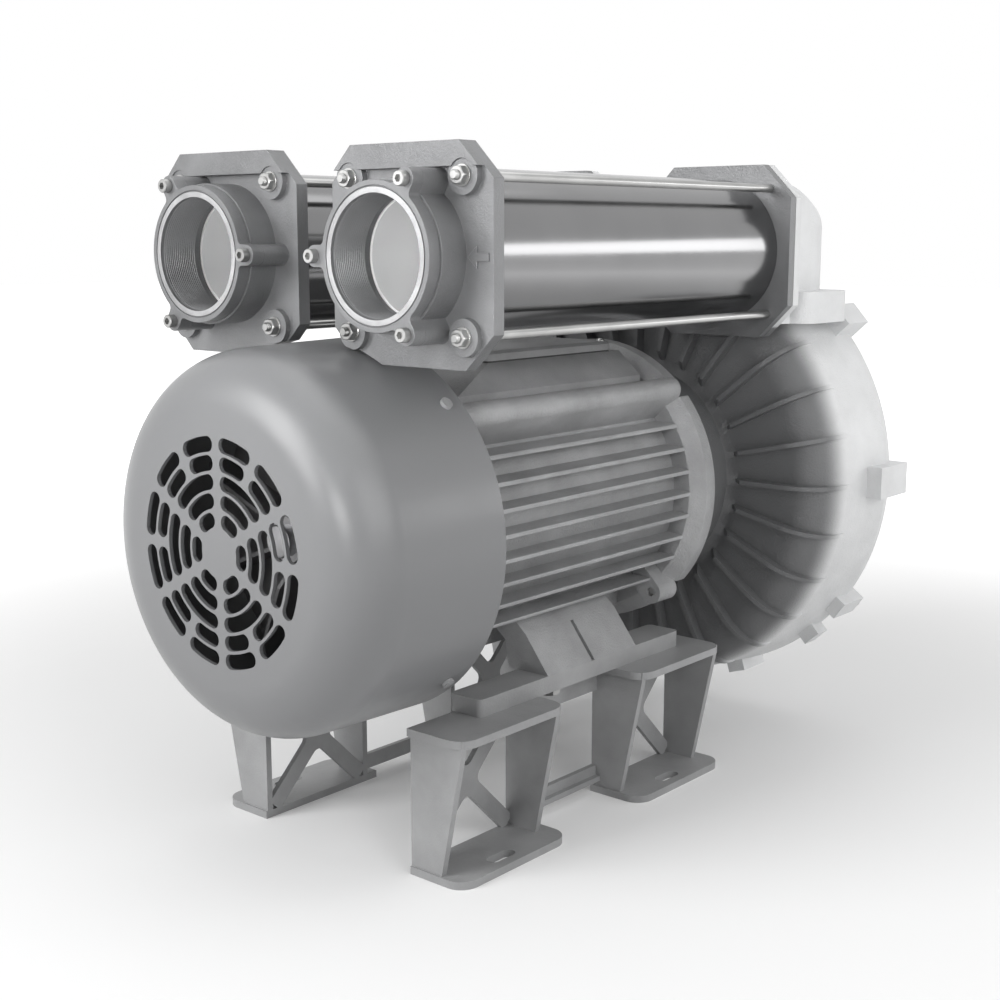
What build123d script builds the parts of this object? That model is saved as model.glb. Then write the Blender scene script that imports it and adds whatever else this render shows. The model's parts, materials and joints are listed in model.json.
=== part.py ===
from build123d import *
import os
from math import atan2, cos, degrees, hypot, radians, sin, sqrt

# Side channel blower. A foot-mounted electric motor stands on two cast rails and carries
# a ribbed blower casing on its drive end. Two tubular silencers lie over the motor, from
# the casing's ports back to two threaded pipe ports above the fan cover.
# X runs along the shaft from the fan end to the blower end, Y runs across, Z runs up.
# The origin is on the floor, under the middle of the whole. All sizes are millimetres.

os.makedirs("parts", exist_ok=True)

# Driving sizes: heights and lengths along the shaft
base_height = 167.25
motor_shaft_height = 158.75
fan_cover_length = 184.0
cover_overlap = 16.0
frame_length = 377.0
drive_shield_length = 30.0
neck_length = 73.0
casing_depth = 137.0
blower_cover_depth = 49.0

# Driving sizes: motor
fan_cover_radius = 187.5
fan_cover_nose_radius = 184.0
fan_cover_corner = 58.0
fan_cover_wall = 4.0
grille_radius = 108.0
slot_width = 14.5
slot_land = 2.8
spoke_width = 9.0
frame_bore_radius = 118.0
frame_wall = 12.0
fin_tip_radius = 152.0
fin_pitch = 25.0
fin_tip = 4.0
fin_root = 8.0
fin_sink = 4.0
side_fin_reach = 4
low_fin_reach = 2
ear_bolt_circle = 162.0
ear_width = 27.0
ear_depth = 12.0
lug_depth = 22.0
core_start_offset = 122.0
core_length = 160.0
core_bore_radius = 72.0
air_gap = 0.6
winding_reach = 38.0
foot_start_offset = 305.0
foot_length = 154.0
foot_outer = 141.0
foot_bolt_spacing = 114.3
foot_bolt_offset = 127.0

# Driving sizes: blower
rib_count = 28
rib_thickness = 5.0
rib_height = 13.0
casing_radius = 262.0
casing_draft = 8.0
casing_wall = 12.0
impeller_radius = 246.0
impeller_width = 62.0
impeller_gap = 1.0
tip_gap = 2.0
channel_radius = 42.0
blade_count = 36
lug_reach = 14.0
lug_width = 37.0
lug_depth_large = 40.0
small_lug_reach = 12.0
small_lug_width = 24.0
small_lug_depth = 23.0
shoulder_lug_reach = 20.0
shoulder_lug_width = 30.0

# Driving sizes: silencers and ports
silencer_offset = 123.3
silencer_rise = 267.3
silencer_length = 488.6
silencer_setback = 19.0
tube_radius = 79.8
tube_wall = 2.5
front_plate_width = 197.2
front_plate_chamfer = 32.3
front_plate_thickness = 14.0
rear_plate_width = 190.4
rear_plate_chamfer = 36.0
rear_plate_thickness = 12.0
port_radius = 54.6
port_flange_radius = 66.0
port_flange_thickness = 14.0
port_depth = 49.0
drum_radius = 68.0
port_bolt_circle = 76.0
rod_spacing = 138.0
rod_radius = 4.5

# Driving sizes: base
rail_start_offset = 138.0
leg_length = 148.0
leg_gap = 141.0
rail_height = 149.0
web_face = 112.0
web_thickness = 6.0
wall_thickness = 7.0
wall_reach_top = 61.0
wall_reach_foot = 32.0
foot_plate_edge = 175.0
foot_plate_thickness = 8.0
foot_plate_overhang = 14.0
top_plate_edge = 178.0
top_plate_thickness = 8.0
brace_width = 18.0
foot_slot_length = 36.0
foot_slot_width = 14.0
foot_slot_offset = 157.0
bar_start_offset = 200.0
bar_length = 343.0
bar_inner = 100.0

# Driving sizes: shaft and bearings
fan_seat_radius = 16.0
fan_bearing_bore = 20.0
fan_bearing_outer = 40.0
fan_bearing_width = 18.0
drive_bearing_bore = 22.5
drive_bearing_outer = 50.0
drive_bearing_width = 25.0
rotor_seat_radius = 30.0
extension_radius = 20.65
running_gap = 0.05

# Bolt sizes: shank radius, width across flats and head height
m10_radius = 5.0
m10_flats = 16.0
m10_head = 7.0
m12_radius = 6.0
m12_flats = 19.0
m12_head = 7.5
m16_radius = 8.0
m16_flats = 24.0
m16_head = 10.0

# Worked out: stations along the shaft
motor_length = fan_cover_length - cover_overlap + frame_length + drive_shield_length
overall_length = motor_length + neck_length + casing_depth + blower_cover_depth
x_face = -overall_length / 2
x_rim = x_face + fan_cover_length
x_frame = x_rim - cover_overlap
x_frame_end = x_frame + frame_length
x_motor_face = x_frame_end + drive_shield_length
x_crest = x_motor_face + neck_length
x_parting = x_crest + casing_depth
x_back = x_parting + blower_cover_depth
axis_height = base_height + motor_shaft_height
silencer_height = axis_height + silencer_rise
x_rear_plate = x_crest - silencer_setback
x_front_plate = x_rear_plate - silencer_length - front_plate_thickness
x_port_back = x_front_plate + 4
x_port_face = x_port_back - port_depth
profile_plane = Plane(origin=(0, 0, axis_height), x_dir=(1, 0, 0), z_dir=(0, -1, 0))
shaft_axis = Axis((0, 0, axis_height), (1, 0, 0))
upper_ear_angles = (45, 135)
ear_angles = (45, 135, 225, 315)
sides = (-1, 1)


def cross_plane(x):
    """A plane across the shaft at x: its x runs along +Y and its y runs up."""
    return Plane(origin=(x, 0, axis_height), x_dir=(0, 1, 0), z_dir=(1, 0, 0))


def silencer_plane(x, side):
    """A plane across one silencer's axis at x, on the side -1 or 1."""
    origin = (x, side * silencer_offset, silencer_height)
    return Plane(origin=origin, x_dir=(0, 1, 0), z_dir=(1, 0, 0))


def radial_plane(angle):
    """A plane through the shaft axis: its x runs along +X, its y points out at angle."""
    normal = (0, -sin(radians(angle)), cos(radians(angle)))
    return Plane(origin=(0, 0, axis_height), x_dir=(1, 0, 0), z_dir=normal)


def facing_plane(x, radius, angle):
    """A plane at x that faces straight out from the shaft, at radius and angle."""
    outward = (0, cos(radians(angle)), sin(radians(angle)))
    origin = (x, radius * outward[1], axis_height + radius * outward[2])
    return Plane(origin=origin, x_dir=(1, 0, 0), z_dir=outward)


def polar_point(radius, angle):
    """The point at radius and angle in a cross plane's own coordinates."""
    return (radius * cos(radians(angle)), radius * sin(radians(angle)))


def revolved(points, mode=Mode.ADD):
    """Turns a closed profile of (x, radius) points about the shaft axis."""
    with BuildSketch(profile_plane) as profile:
        with BuildLine():
            Polyline(*points, close=True)
        make_face()
    revolve(profile.sketch, axis=shaft_axis, mode=mode)


def sleeve(plane, outer, inner, length):
    """A plain ring that stands on plane and runs along its normal."""
    with BuildSketch(plane) as section:
        Circle(outer)
        Circle(inner, mode=Mode.SUBTRACT)
    extrude(section.sketch, amount=length)


def disc(plane, radius, length, mode=Mode.ADD):
    """A plain cylinder that stands on plane and runs along its normal."""
    with BuildSketch(plane) as section:
        Circle(radius)
    extrude(section.sketch, amount=length, mode=mode)


def hex_bolt(seat, across, head, radius, length):
    """A hexagon bolt whose head stands on the seat plane, with its shank behind it."""
    with BuildSketch(seat) as outline:
        RegularPolygon(across / 2, 6, major_radius=False)
    extrude(outline.sketch, amount=head)
    disc(seat, radius, -length)


def ear_outline(angle, reach):
    """One bolt ear's outline in a cross plane, from inside the rim out to its round end."""
    with BuildSketch() as outline:
        with Locations(Rotation(0, 0, angle)):
            with Locations(((reach - ear_width / 2 + frame_bore_radius) / 2 + 3, 0)):
                Rectangle(reach - ear_width / 2 - frame_bore_radius - 6, ear_width)
            with Locations((reach - ear_width / 2, 0)):
                Circle(ear_width / 2)
    return outline.sketch


def octagon(width, corner):
    """A square of the given width with its corners cut off."""
    with BuildSketch() as outline:
        Rectangle(width, width)
        chamfer(outline.vertices(), length=corner)
    return outline.sketch


def grille_slots():
    """Five rings of curved slots: the two outer rings have twelve, the others six."""
    with BuildSketch() as outline:
        for ring in range(5):
            ring_radius = grille_radius - slot_width / 2 - ring * (slot_width + slot_land)
            slots_in_ring = 12 if ring < 2 else 6
            end_angle = degrees((spoke_width + slot_width) / 2 / ring_radius)
            arc_size = 360 / slots_in_ring - 2 * end_angle
            for slot in range(slots_in_ring):
                start = 90 + slot * 360 / slots_in_ring + end_angle
                path = CenterArc((0, 0), ring_radius, start, arc_size, mode=Mode.PRIVATE)
                SlotArc(path, slot_width)
    return outline.sketch


def fin_outline(row):
    """One fin along +x, thinner at its tip, in the given row from the motor's middle."""
    across = row * fin_pitch
    start = sqrt(frame_radius**2 - across**2) - fin_sink
    end = sqrt(fin_tip_radius**2 - across**2)
    with BuildSketch() as outline:
        with BuildLine():
            Polyline(
                (start, across - fin_root / 2),
                (end, across - fin_tip / 2),
                (end, across + fin_tip / 2),
                (start, across + fin_root / 2),
                close=True,
            )
        make_face()
    return outline.sketch


# Fan cover: a deep drawn cowl with five rings of rounded slots in its face
x_cover_screw = x_frame - ear_depth / 2
cover_slope = (fan_cover_radius - fan_cover_nose_radius) / fan_cover_length
cover_inner_radius = fan_cover_radius - fan_cover_wall - 2 * cover_slope * cover_overlap
cover_screw_radius = 3.0
with BuildPart() as fan_cover:
    with BuildSketch(profile_plane):
        with BuildLine():
            Polyline(
                (x_face, 0),
                (x_face, fan_cover_nose_radius),
                (x_rim, fan_cover_radius),
                (x_rim, 0),
                close=True,
            )
        make_face()
    revolve(axis=shaft_axis)
    front_edge = fan_cover.edges().filter_by(GeomType.CIRCLE).sort_by(Axis.X)[0]
    fillet(front_edge, radius=fan_cover_corner)
    rear_face = fan_cover.faces().filter_by(GeomType.PLANE).sort_by(Axis.X)[-1]
    offset(amount=-fan_cover_wall, openings=rear_face)
    with BuildSketch(cross_plane(x_face)):
        add(grille_slots())
    extrude(amount=fan_cover_wall * 2, mode=Mode.SUBTRACT)
    for angle in ear_angles:
        hole = facing_plane(x_cover_screw, cover_inner_radius - 2, angle)
        disc(hole, cover_screw_radius, fan_cover_wall * 3, mode=Mode.SUBTRACT)
fan_cover.part.label = "fan_cover"
export_step(fan_cover.part, "parts/fan_cover.step")

# Motor frame: a tube with level fins down both sides, upright fins below and two feet
frame_radius = frame_bore_radius + frame_wall
foot_slope_reach = 30.0
foot_rise = 39.0
foot_groove = 5.0
foot_inner = 88.0
foot_groove_top = foot_outer - foot_slope_reach - foot_groove
lead_hole_radius = 20.0
box_start_offset = 226.0
box_length = 305.0
box_base_width = 180.0
box_base_rise = 131.0
x_box = x_face + box_start_offset
x_foot = x_face + foot_start_offset
x_foot_middle = x_foot + foot_length / 2
x_lead_hole = x_box + box_length * 0.6
foot_bolt_points = [
    (x_foot_middle + end * foot_bolt_spacing / 2, side * foot_bolt_offset)
    for end in sides
    for side in sides
]
foot_bolt_bite = 10.0
with BuildPart() as motor_frame:
    with BuildSketch(cross_plane(x_frame)):
        Circle(frame_radius)
        for row in range(-side_fin_reach, side_fin_reach + 1):
            add(fin_outline(row))
            add(fin_outline(row), rotation=180)
        for row in range(-low_fin_reach, low_fin_reach + 1):
            add(fin_outline(row), rotation=-90)
        Circle(fin_tip_radius, mode=Mode.INTERSECT)
    extrude(amount=frame_length)
    with BuildSketch(Plane.XY.offset(axis_height)):
        with Locations((x_box + box_length / 2, 0)):
            Rectangle(box_length, box_base_width)
    extrude(amount=box_base_rise)
    with BuildSketch(cross_plane(x_foot)):
        for side in sides:
            with BuildLine():
                Polyline(
                    (side * foot_outer, -motor_shaft_height),
                    (side * (foot_outer - foot_slope_reach), -motor_shaft_height + foot_rise),
                    (side * frame_radius * 0.75, -motor_shaft_height + foot_rise * 1.3),
                    (side * frame_radius * 0.4, -frame_radius * 0.8),
                    (side * foot_inner * 0.95, -frame_radius),
                    (side * foot_inner, -motor_shaft_height),
                    close=True,
                )
            make_face()
    extrude(amount=foot_length)
    with BuildSketch(cross_plane(x_foot_middle - foot_groove / 2)):
        for side in sides:
            with BuildLine():
                Polyline(
                    (side * (foot_outer + foot_groove), -motor_shaft_height),
                    (side * (foot_outer - foot_groove), -motor_shaft_height),
                    (side * foot_groove_top, -motor_shaft_height + foot_rise),
                    (side * (foot_groove_top + 2 * foot_groove), -motor_shaft_height + foot_rise),
                    close=True,
                )
            make_face()
    extrude(amount=foot_groove, mode=Mode.SUBTRACT)
    for angle in ear_angles:
        for start in (x_frame, x_frame_end - lug_depth):
            with BuildSketch(cross_plane(start)):
                add(ear_outline(angle, ear_bolt_circle + ear_width / 2))
            extrude(amount=lug_depth)
    for angle in upper_ear_angles:
        with BuildSketch(cross_plane(x_frame)):
            add(ear_outline(angle, ear_bolt_circle + ear_width / 2))
        extrude(amount=frame_length)
    disc(cross_plane(x_frame), frame_bore_radius, frame_length, mode=Mode.SUBTRACT)
    for angle in ear_angles:
        for start in (x_frame, x_frame_end - lug_depth):
            with BuildSketch(cross_plane(start)):
                with Locations(polar_point(ear_bolt_circle, angle)):
                    Circle(m10_radius)
            extrude(amount=lug_depth, mode=Mode.SUBTRACT)
    with BuildSketch(Plane.XY.offset(axis_height)):
        with Locations((x_lead_hole, 0)):
            Circle(lead_hole_radius)
    extrude(amount=box_base_rise, mode=Mode.SUBTRACT)
    with BuildSketch(Plane.XY.offset(base_height)):
        with Locations(*foot_bolt_points):
            Circle(m12_radius)
    extrude(amount=foot_bolt_bite, mode=Mode.SUBTRACT)
motor_frame.part.label = "motor_frame"
export_step(motor_frame.part, "parts/motor_frame.step")

# End shields: spigoted discs with a bearing hub, a rim and four bolt ears
spigot_depth = 8.0
spigot_wall = 8.0
rim_radius = 150.0
shield_web = 10.0
fan_hub_radius = 52.0
fan_seat_depth = fan_bearing_width + 2
fan_lip = 3.0
x_fan_seat = x_frame - 1 - fan_seat_depth
lip_gap = 1.5
fan_ear_reach = cover_inner_radius - 0.5
with BuildPart() as fan_end_shield:
    revolved(
        [
            (x_fan_seat - fan_lip, fan_bearing_bore + lip_gap),
            (x_fan_seat - fan_lip, fan_hub_radius),
            (x_frame - ear_depth - 2, fan_hub_radius + 6),
            (x_frame - ear_depth, rim_radius - 12),
            (x_frame - ear_depth, rim_radius),
            (x_frame, rim_radius),
            (x_frame, frame_bore_radius),
            (x_frame + spigot_depth, frame_bore_radius),
            (x_frame + spigot_depth, frame_bore_radius - spigot_wall),
            (x_frame - 2, frame_bore_radius - spigot_wall - 4),
            (x_frame - 2, fan_hub_radius),
            (x_fan_seat + fan_seat_depth, fan_hub_radius - 2),
            (x_fan_seat + fan_seat_depth, fan_bearing_outer),
            (x_fan_seat, fan_bearing_outer),
            (x_fan_seat, fan_bearing_bore + lip_gap),
        ]
    )
    for angle in ear_angles:
        with BuildSketch(cross_plane(x_frame)):
            add(ear_outline(angle, fan_ear_reach))
        extrude(amount=-ear_depth)
    for angle in ear_angles:
        with BuildSketch(cross_plane(x_frame)):
            with Locations(polar_point(ear_bolt_circle, angle)):
                Circle(m10_radius)
        extrude(amount=-ear_depth, mode=Mode.SUBTRACT)
        screw_seat = facing_plane(x_cover_screw, fan_ear_reach, angle)
        disc(screw_seat, cover_screw_radius, -12, mode=Mode.SUBTRACT)
fan_end_shield.part.label = "fan_end_shield"
export_step(fan_end_shield.part, "parts/fan_end_shield.step")

flare = 13.0
bell_radius = 165.0
mount_bolt_circle = 141.0
mount_bolt_bite = 16.0
mount_bolt_angles = [22.5 + 45 * step for step in range(8)]
drive_hub_radius = 64.0
drive_lip = 3.0
x_drive_seat = x_motor_face - drive_lip - drive_bearing_width
with BuildPart() as drive_end_shield:
    revolved(
        [
            (x_frame_end - spigot_depth, frame_bore_radius - spigot_wall),
            (x_frame_end - spigot_depth, frame_bore_radius),
            (x_frame_end, frame_bore_radius),
            (x_frame_end, rim_radius),
            (x_frame_end + flare, bell_radius),
            (x_motor_face, bell_radius),
            (x_motor_face, frame_bore_radius + 4),
            (x_frame_end + flare + shield_web, frame_bore_radius),
            (x_frame_end + flare + shield_web, drive_hub_radius + 4),
            (x_motor_face, drive_hub_radius),
            (x_motor_face, extension_radius + lip_gap),
            (x_motor_face - drive_lip, extension_radius + lip_gap),
            (x_motor_face - drive_lip, drive_bearing_outer),
            (x_drive_seat, drive_bearing_outer),
            (x_drive_seat, drive_hub_radius),
            (x_frame_end + flare, drive_hub_radius + 4),
            (x_frame_end + flare, frame_bore_radius - spigot_wall),
        ]
    )
    for angle in ear_angles:
        with BuildSketch(cross_plane(x_frame_end)):
            add(ear_outline(angle, ear_bolt_circle + ear_width / 2))
        extrude(amount=ear_depth)
    for angle in ear_angles:
        with BuildSketch(cross_plane(x_frame_end)):
            with Locations(polar_point(ear_bolt_circle, angle)):
                Circle(m10_radius)
        extrude(amount=ear_depth, mode=Mode.SUBTRACT)
        with BuildSketch(cross_plane(x_frame_end + ear_depth)):
            with Locations(polar_point(ear_bolt_circle, angle)):
                Circle(ear_width / 2)
        extrude(amount=drive_shield_length, mode=Mode.SUBTRACT)
    for angle in mount_bolt_angles:
        with BuildSketch(cross_plane(x_motor_face)):
            with Locations(polar_point(mount_bolt_circle, angle)):
                Circle(m10_radius)
        extrude(amount=-mount_bolt_bite, mode=Mode.SUBTRACT)
drive_end_shield.part.label = "drive_end_shield"
export_step(drive_end_shield.part, "parts/drive_end_shield.step")

# Stator: a slotted core ring pressed into the frame, and its two end windings
x_core = x_frame + core_start_offset
x_core_end = x_core + core_length
slot_count = 24
slot_depth = 22.0
slot_breadth = 9.0
with BuildPart() as stator_core:
    with BuildSketch(cross_plane(x_core)):
        Circle(frame_bore_radius)
        Circle(core_bore_radius, mode=Mode.SUBTRACT)
        with PolarLocations(core_bore_radius + slot_depth / 2 - 1, slot_count):
            Rectangle(slot_depth + 2, slot_breadth, mode=Mode.SUBTRACT)
    extrude(amount=core_length)
stator_core.part.label = "stator_core"
export_step(stator_core.part, "parts/stator_core.step")

winding_inner = core_bore_radius + 4
winding_outer = core_bore_radius + slot_depth + 10
with BuildPart() as stator_windings:
    with BuildSketch(cross_plane(x_core)):
        with PolarLocations(core_bore_radius + slot_depth / 2 + 1, slot_count):
            Rectangle(slot_depth - 4, slot_breadth - 1)
    extrude(amount=core_length)
    sleeve(cross_plane(x_core), winding_outer, winding_inner, -winding_reach)
    sleeve(cross_plane(x_core_end), winding_outer, winding_inner, winding_reach)
stator_windings.part.label = "stator_windings"
export_step(stator_windings.part, "parts/stator_windings.step")

# Rotor: a cast cage on the shaft, with the fan at one end and the impeller at the other
rotor_radius = core_bore_radius - air_gap
end_ring_length = 14.0
with BuildPart() as rotor_core:
    sleeve(cross_plane(x_core), rotor_radius, rotor_seat_radius, core_length)
    for start, length in ((x_core, -end_ring_length), (x_core_end, end_ring_length)):
        sleeve(cross_plane(start), rotor_radius - 2, rotor_radius - 22, length)
rotor_core.part.label = "rotor_core"
export_step(rotor_core.part, "parts/rotor_core.step")

# Blower stations: the impeller turns between the casing's floor and the cover's floor
cover_rib_height = 4.0
x_cover_floor = x_back - cover_rib_height - casing_wall - channel_radius
x_impeller_end = x_cover_floor - impeller_gap
x_impeller = x_impeller_end - impeller_width
x_casing_floor = x_impeller - impeller_gap
x_impeller_middle = (x_impeller + x_impeller_end) / 2
impeller_hub_length = 44.0
x_hub = x_impeller_middle - impeller_hub_length / 2
x_hub_end = x_hub + impeller_hub_length
cavity_radius = impeller_radius + tip_gap
channel_centre = cavity_radius - 3 - channel_radius
shaft_end_gap = 1.0
key_width = 9.5
key_length = 36.0
key_depth = 5.0
shaft_thread_depth = 40.0
x_fan_end = x_frame - 98
x_shaft_end = x_hub_end - shaft_end_gap
washer_thickness = 5.0
washer_radius = 32.0
key_top = extension_radius - key_depth + key_width
with BuildPart() as shaft:
    revolved(
        [
            (x_fan_end, 0),
            (x_fan_end, fan_seat_radius - 1),
            (x_fan_end + 1, fan_seat_radius),
            (x_fan_seat - fan_lip - 2, fan_seat_radius),
            (x_fan_seat - fan_lip - 2, fan_bearing_bore),
            (x_fan_seat + fan_seat_depth, fan_bearing_bore),
            (x_fan_seat + fan_seat_depth, fan_bearing_bore + 4),
            (x_core - end_ring_length, fan_bearing_bore + 4),
            (x_core - end_ring_length, rotor_seat_radius),
            (x_core_end + end_ring_length, rotor_seat_radius),
            (x_core_end + end_ring_length, drive_bearing_bore + 4),
            (x_drive_seat, drive_bearing_bore + 4),
            (x_drive_seat, drive_bearing_bore),
            (x_motor_face - drive_lip, drive_bearing_bore),
            (x_motor_face - drive_lip, extension_radius),
            (x_shaft_end - 1, extension_radius),
            (x_shaft_end, extension_radius - 1),
            (x_shaft_end, 0),
        ]
    )
    with BuildSketch(Plane.XY.offset(axis_height + extension_radius - key_depth)):
        with Locations((x_hub + impeller_hub_length / 2, 0)):
            Rectangle(key_length, key_width)
    extrude(amount=key_depth * 2, mode=Mode.SUBTRACT)
    disc(cross_plane(x_shaft_end), m16_radius, -shaft_thread_depth, mode=Mode.SUBTRACT)
shaft.part.label = "shaft"
export_step(shaft.part, "parts/shaft.step")

with BuildPart() as impeller_key:
    with BuildSketch(Plane.XY.offset(axis_height + extension_radius - key_depth)):
        with Locations((x_hub + impeller_hub_length / 2, 0)):
            Rectangle(key_length, key_width)
    extrude(amount=key_width)
impeller_key.part.label = "impeller_key"
export_step(impeller_key.part, "parts/impeller_key.step")

# Impeller: a hub and web that carry radial blades on both sides of a thin middle ring
hub_radius = 46.0
web_half = 5.0
blade_root = cavity_radius - 3 - 2 * channel_radius
blade_thickness = 5.0
with BuildPart() as impeller:
    revolved(
        [
            (x_hub, extension_radius),
            (x_hub, hub_radius),
            (x_impeller_middle - web_half, hub_radius + 10),
            (x_impeller_middle - web_half, blade_root - 22),
            (x_impeller, blade_root - 10),
            (x_impeller, blade_root),
            (x_impeller_middle - 2, blade_root + 26),
            (x_impeller_middle - 2, impeller_radius),
            (x_impeller_middle + 2, impeller_radius),
            (x_impeller_middle + 2, blade_root + 26),
            (x_impeller_end, blade_root),
            (x_impeller_end, blade_root - 10),
            (x_impeller_middle + web_half, blade_root - 22),
            (x_impeller_middle + web_half, hub_radius + 10),
            (x_hub_end, hub_radius),
            (x_hub_end, extension_radius),
        ]
    )
    for blade in range(blade_count):
        with BuildSketch(radial_plane(blade * 360 / blade_count)):
            with BuildLine():
                Polyline(
                    (x_impeller, blade_root - 2),
                    (x_impeller, impeller_radius),
                    (x_impeller_end, impeller_radius),
                    (x_impeller_end, blade_root - 2),
                    close=True,
                )
            make_face()
    extrude(amount=blade_thickness / 2, both=True)
    with BuildSketch(Plane.XY.offset(axis_height)):
        with Locations((x_hub + impeller_hub_length / 2, 0)):
            Rectangle(impeller_hub_length, key_width)
    extrude(amount=key_top, mode=Mode.SUBTRACT)
impeller.part.label = "impeller"
export_step(impeller.part, "parts/impeller.step")

with BuildPart() as impeller_washer:
    sleeve(cross_plane(x_hub_end), washer_radius, m16_radius, washer_thickness)
impeller_washer.part.label = "impeller_washer"
export_step(impeller_washer.part, "parts/impeller_washer.step")

with BuildPart() as impeller_bolt:
    bolt_seat = cross_plane(x_hub_end + washer_thickness)
    hex_bolt(bolt_seat, m16_flats, m16_head, m16_radius, shaft_thread_depth - 2)
impeller_bolt.part.label = "impeller_bolt"
export_step(impeller_bolt.part, "parts/impeller_bolt.step")

# Cooling fan: eight straight blades on a back disc, so it blows the same either way
fan_blades = 8
fan_radius = 150.0
fan_depth = 48.0
fan_disc = 4.0
fan_hub = 28.0
x_fan_back = x_frame - 32
with BuildPart() as cooling_fan:
    sleeve(cross_plane(x_fan_back), fan_radius, fan_seat_radius, -fan_disc)
    sleeve(cross_plane(x_fan_back), fan_hub, fan_seat_radius, -fan_depth)
    for blade in range(fan_blades):
        with BuildSketch(radial_plane(22.5 + blade * 360 / fan_blades)):
            with BuildLine():
                Polyline(
                    (x_fan_back, fan_hub - 2),
                    (x_fan_back - fan_depth * 0.7, fan_hub - 2),
                    (x_fan_back - fan_depth, fan_hub * 2),
                    (x_fan_back - fan_depth, fan_radius - 28),
                    (x_fan_back - fan_depth * 0.7, fan_radius),
                    (x_fan_back, fan_radius),
                    close=True,
                )
            make_face()
    extrude(amount=fan_disc / 2, both=True)
cooling_fan.part.label = "cooling_fan"
export_step(cooling_fan.part, "parts/cooling_fan.step")

with BuildPart() as fan_clamp:
    sleeve(cross_plane(x_fan_back - fan_depth), fan_hub - 6, fan_seat_radius, -6)
fan_clamp.part.label = "fan_clamp"
export_step(fan_clamp.part, "parts/fan_clamp.step")

# Bearings: a grooved ring outside and inside, and a caged row of balls between them
bearing_sizes = {
    "fan_bearing": (x_fan_seat + 2, fan_bearing_bore, fan_bearing_outer, fan_bearing_width),
    "drive_bearing": (
        x_drive_seat,
        drive_bearing_bore,
        drive_bearing_outer,
        drive_bearing_width,
    ),
}
ball_count = 8
for name, (start, bore, outer, width) in bearing_sizes.items():
    pitch_radius = (bore + outer) / 2
    ball_radius = (outer - bore) * 0.29
    groove_radius = ball_radius + running_gap
    land = (outer - bore) * 0.25
    middle = start + width / 2
    for ring_name, low, high in (
        ("outer_ring", outer - land, outer),
        ("inner_ring", bore, bore + land),
    ):
        with BuildPart() as bearing_ring:
            sleeve(cross_plane(start), high, low, width)
            with BuildSketch(profile_plane):
                with Locations((middle, pitch_radius)):
                    Circle(groove_radius)
            revolve(axis=shaft_axis, mode=Mode.SUBTRACT)
        bearing_ring.part.label = name + "_" + ring_name
        export_step(bearing_ring.part, "parts/" + name + "_" + ring_name + ".step")
    cage_half = ball_radius + 1.5
    cage_wall = (outer - bore) * 0.08
    with BuildPart() as ball_cage:
        sleeve(
            cross_plane(middle - cage_half),
            pitch_radius + cage_wall,
            pitch_radius - cage_wall,
            2 * cage_half,
        )
        for ball in range(ball_count):
            angle = ball * 360 / ball_count
            pocket = facing_plane(middle, 0, angle)
            disc(pocket, groove_radius, outer, mode=Mode.SUBTRACT)
        for ball in range(ball_count):
            angle = ball * 360 / ball_count
            with Locations(facing_plane(middle, pitch_radius, angle).location):
                Sphere(ball_radius)
    ball_cage.part.label = name + "_cage"
    export_step(ball_cage.part, "parts/" + name + "_cage.step")

with BuildPart() as wave_spring:
    sleeve(cross_plane(x_fan_seat), fan_bearing_outer - 0.5, fan_bearing_outer - 6, 2)
wave_spring.part.label = "wave_spring"
export_step(wave_spring.part, "parts/wave_spring.step")

# Shield bolts: one in each ear, into the frame's lugs
with BuildPart() as shield_bolts:
    for angle in ear_angles:
        for face, away in ((x_frame - ear_depth, -1), (x_frame_end + ear_depth, 1)):
            seat = Plane(
                origin=facing_plane(face, ear_bolt_circle, angle).origin,
                x_dir=(0, 1, 0),
                z_dir=(away, 0, 0),
            )
            hex_bolt(seat, m10_flats, m10_head, m10_radius, ear_depth + lug_depth - 4)
shield_bolts.part.label = "shield_bolts"
export_step(shield_bolts.part, "parts/shield_bolts.step")

screw_head_radius = 6.0
cover_skin = fan_cover_radius - cover_slope * (x_rim - x_cover_screw - screw_head_radius)
with BuildPart() as fan_cover_screws:
    for angle in ear_angles:
        screw_seat = facing_plane(x_cover_screw, cover_skin, angle)
        disc(screw_seat, screw_head_radius, 3.5)
        disc(screw_seat, cover_screw_radius, -14)
fan_cover_screws.part.label = "fan_cover_screws"
export_step(fan_cover_screws.part, "parts/fan_cover_screws.step")

# Blower casing: a lantern neck on the motor's face, a ribbed dome over the side channel
# and a curved port block with two elbow ducts that face back along the motor
flange_depth = 13.0
flange_radius = 148.0
neck_radius = 130.0
neck_bore = 118.0
seal_radius = 32.0
hub_wall = 20.0
floor_thickness = 14.0
dome_corner = 46.0
x_dome = x_crest + rib_height
x_dome_shoulder = x_dome + dome_corner
parting_radius = casing_radius + casing_draft
lug_bolt_circle = parting_radius + 2
lug_hole_depth = 21.0
large_lug = (parting_radius + lug_reach, lug_width, lug_depth_large)
small_lug = (parting_radius + small_lug_reach, small_lug_width, small_lug_depth)
shoulder_lug = (parting_radius + shoulder_lug_reach, shoulder_lug_width, small_lug_depth)
lug_shapes = {
    0: large_lug,
    42: shoulder_lug,
    72: small_lug,
    108: small_lug,
    138: shoulder_lug,
    180: large_lug,
    216: small_lug,
    252: small_lug,
    288: small_lug,
    324: small_lug,
}
pad_angles = (227, 313)
x_port_flange = x_rear_plate + rear_plate_thickness
x_port_block = x_port_flange + rear_plate_thickness
port_block_half = 198.0
port_block_rise = 75.0
port_block_drop = 93.0
elbow_radius = 75.0
duct_radius = 54.0
stripper_angle = 50.0
cover_rib_count = 20
x_elbow = x_port_block + elbow_radius
elbow_height = silencer_height - elbow_radius
block_top = silencer_height + port_block_rise
block_rear_top = block_top - port_block_drop
block_brow = 6.0
shoulder_half = 222.0
shoulder_top = 222.0
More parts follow.
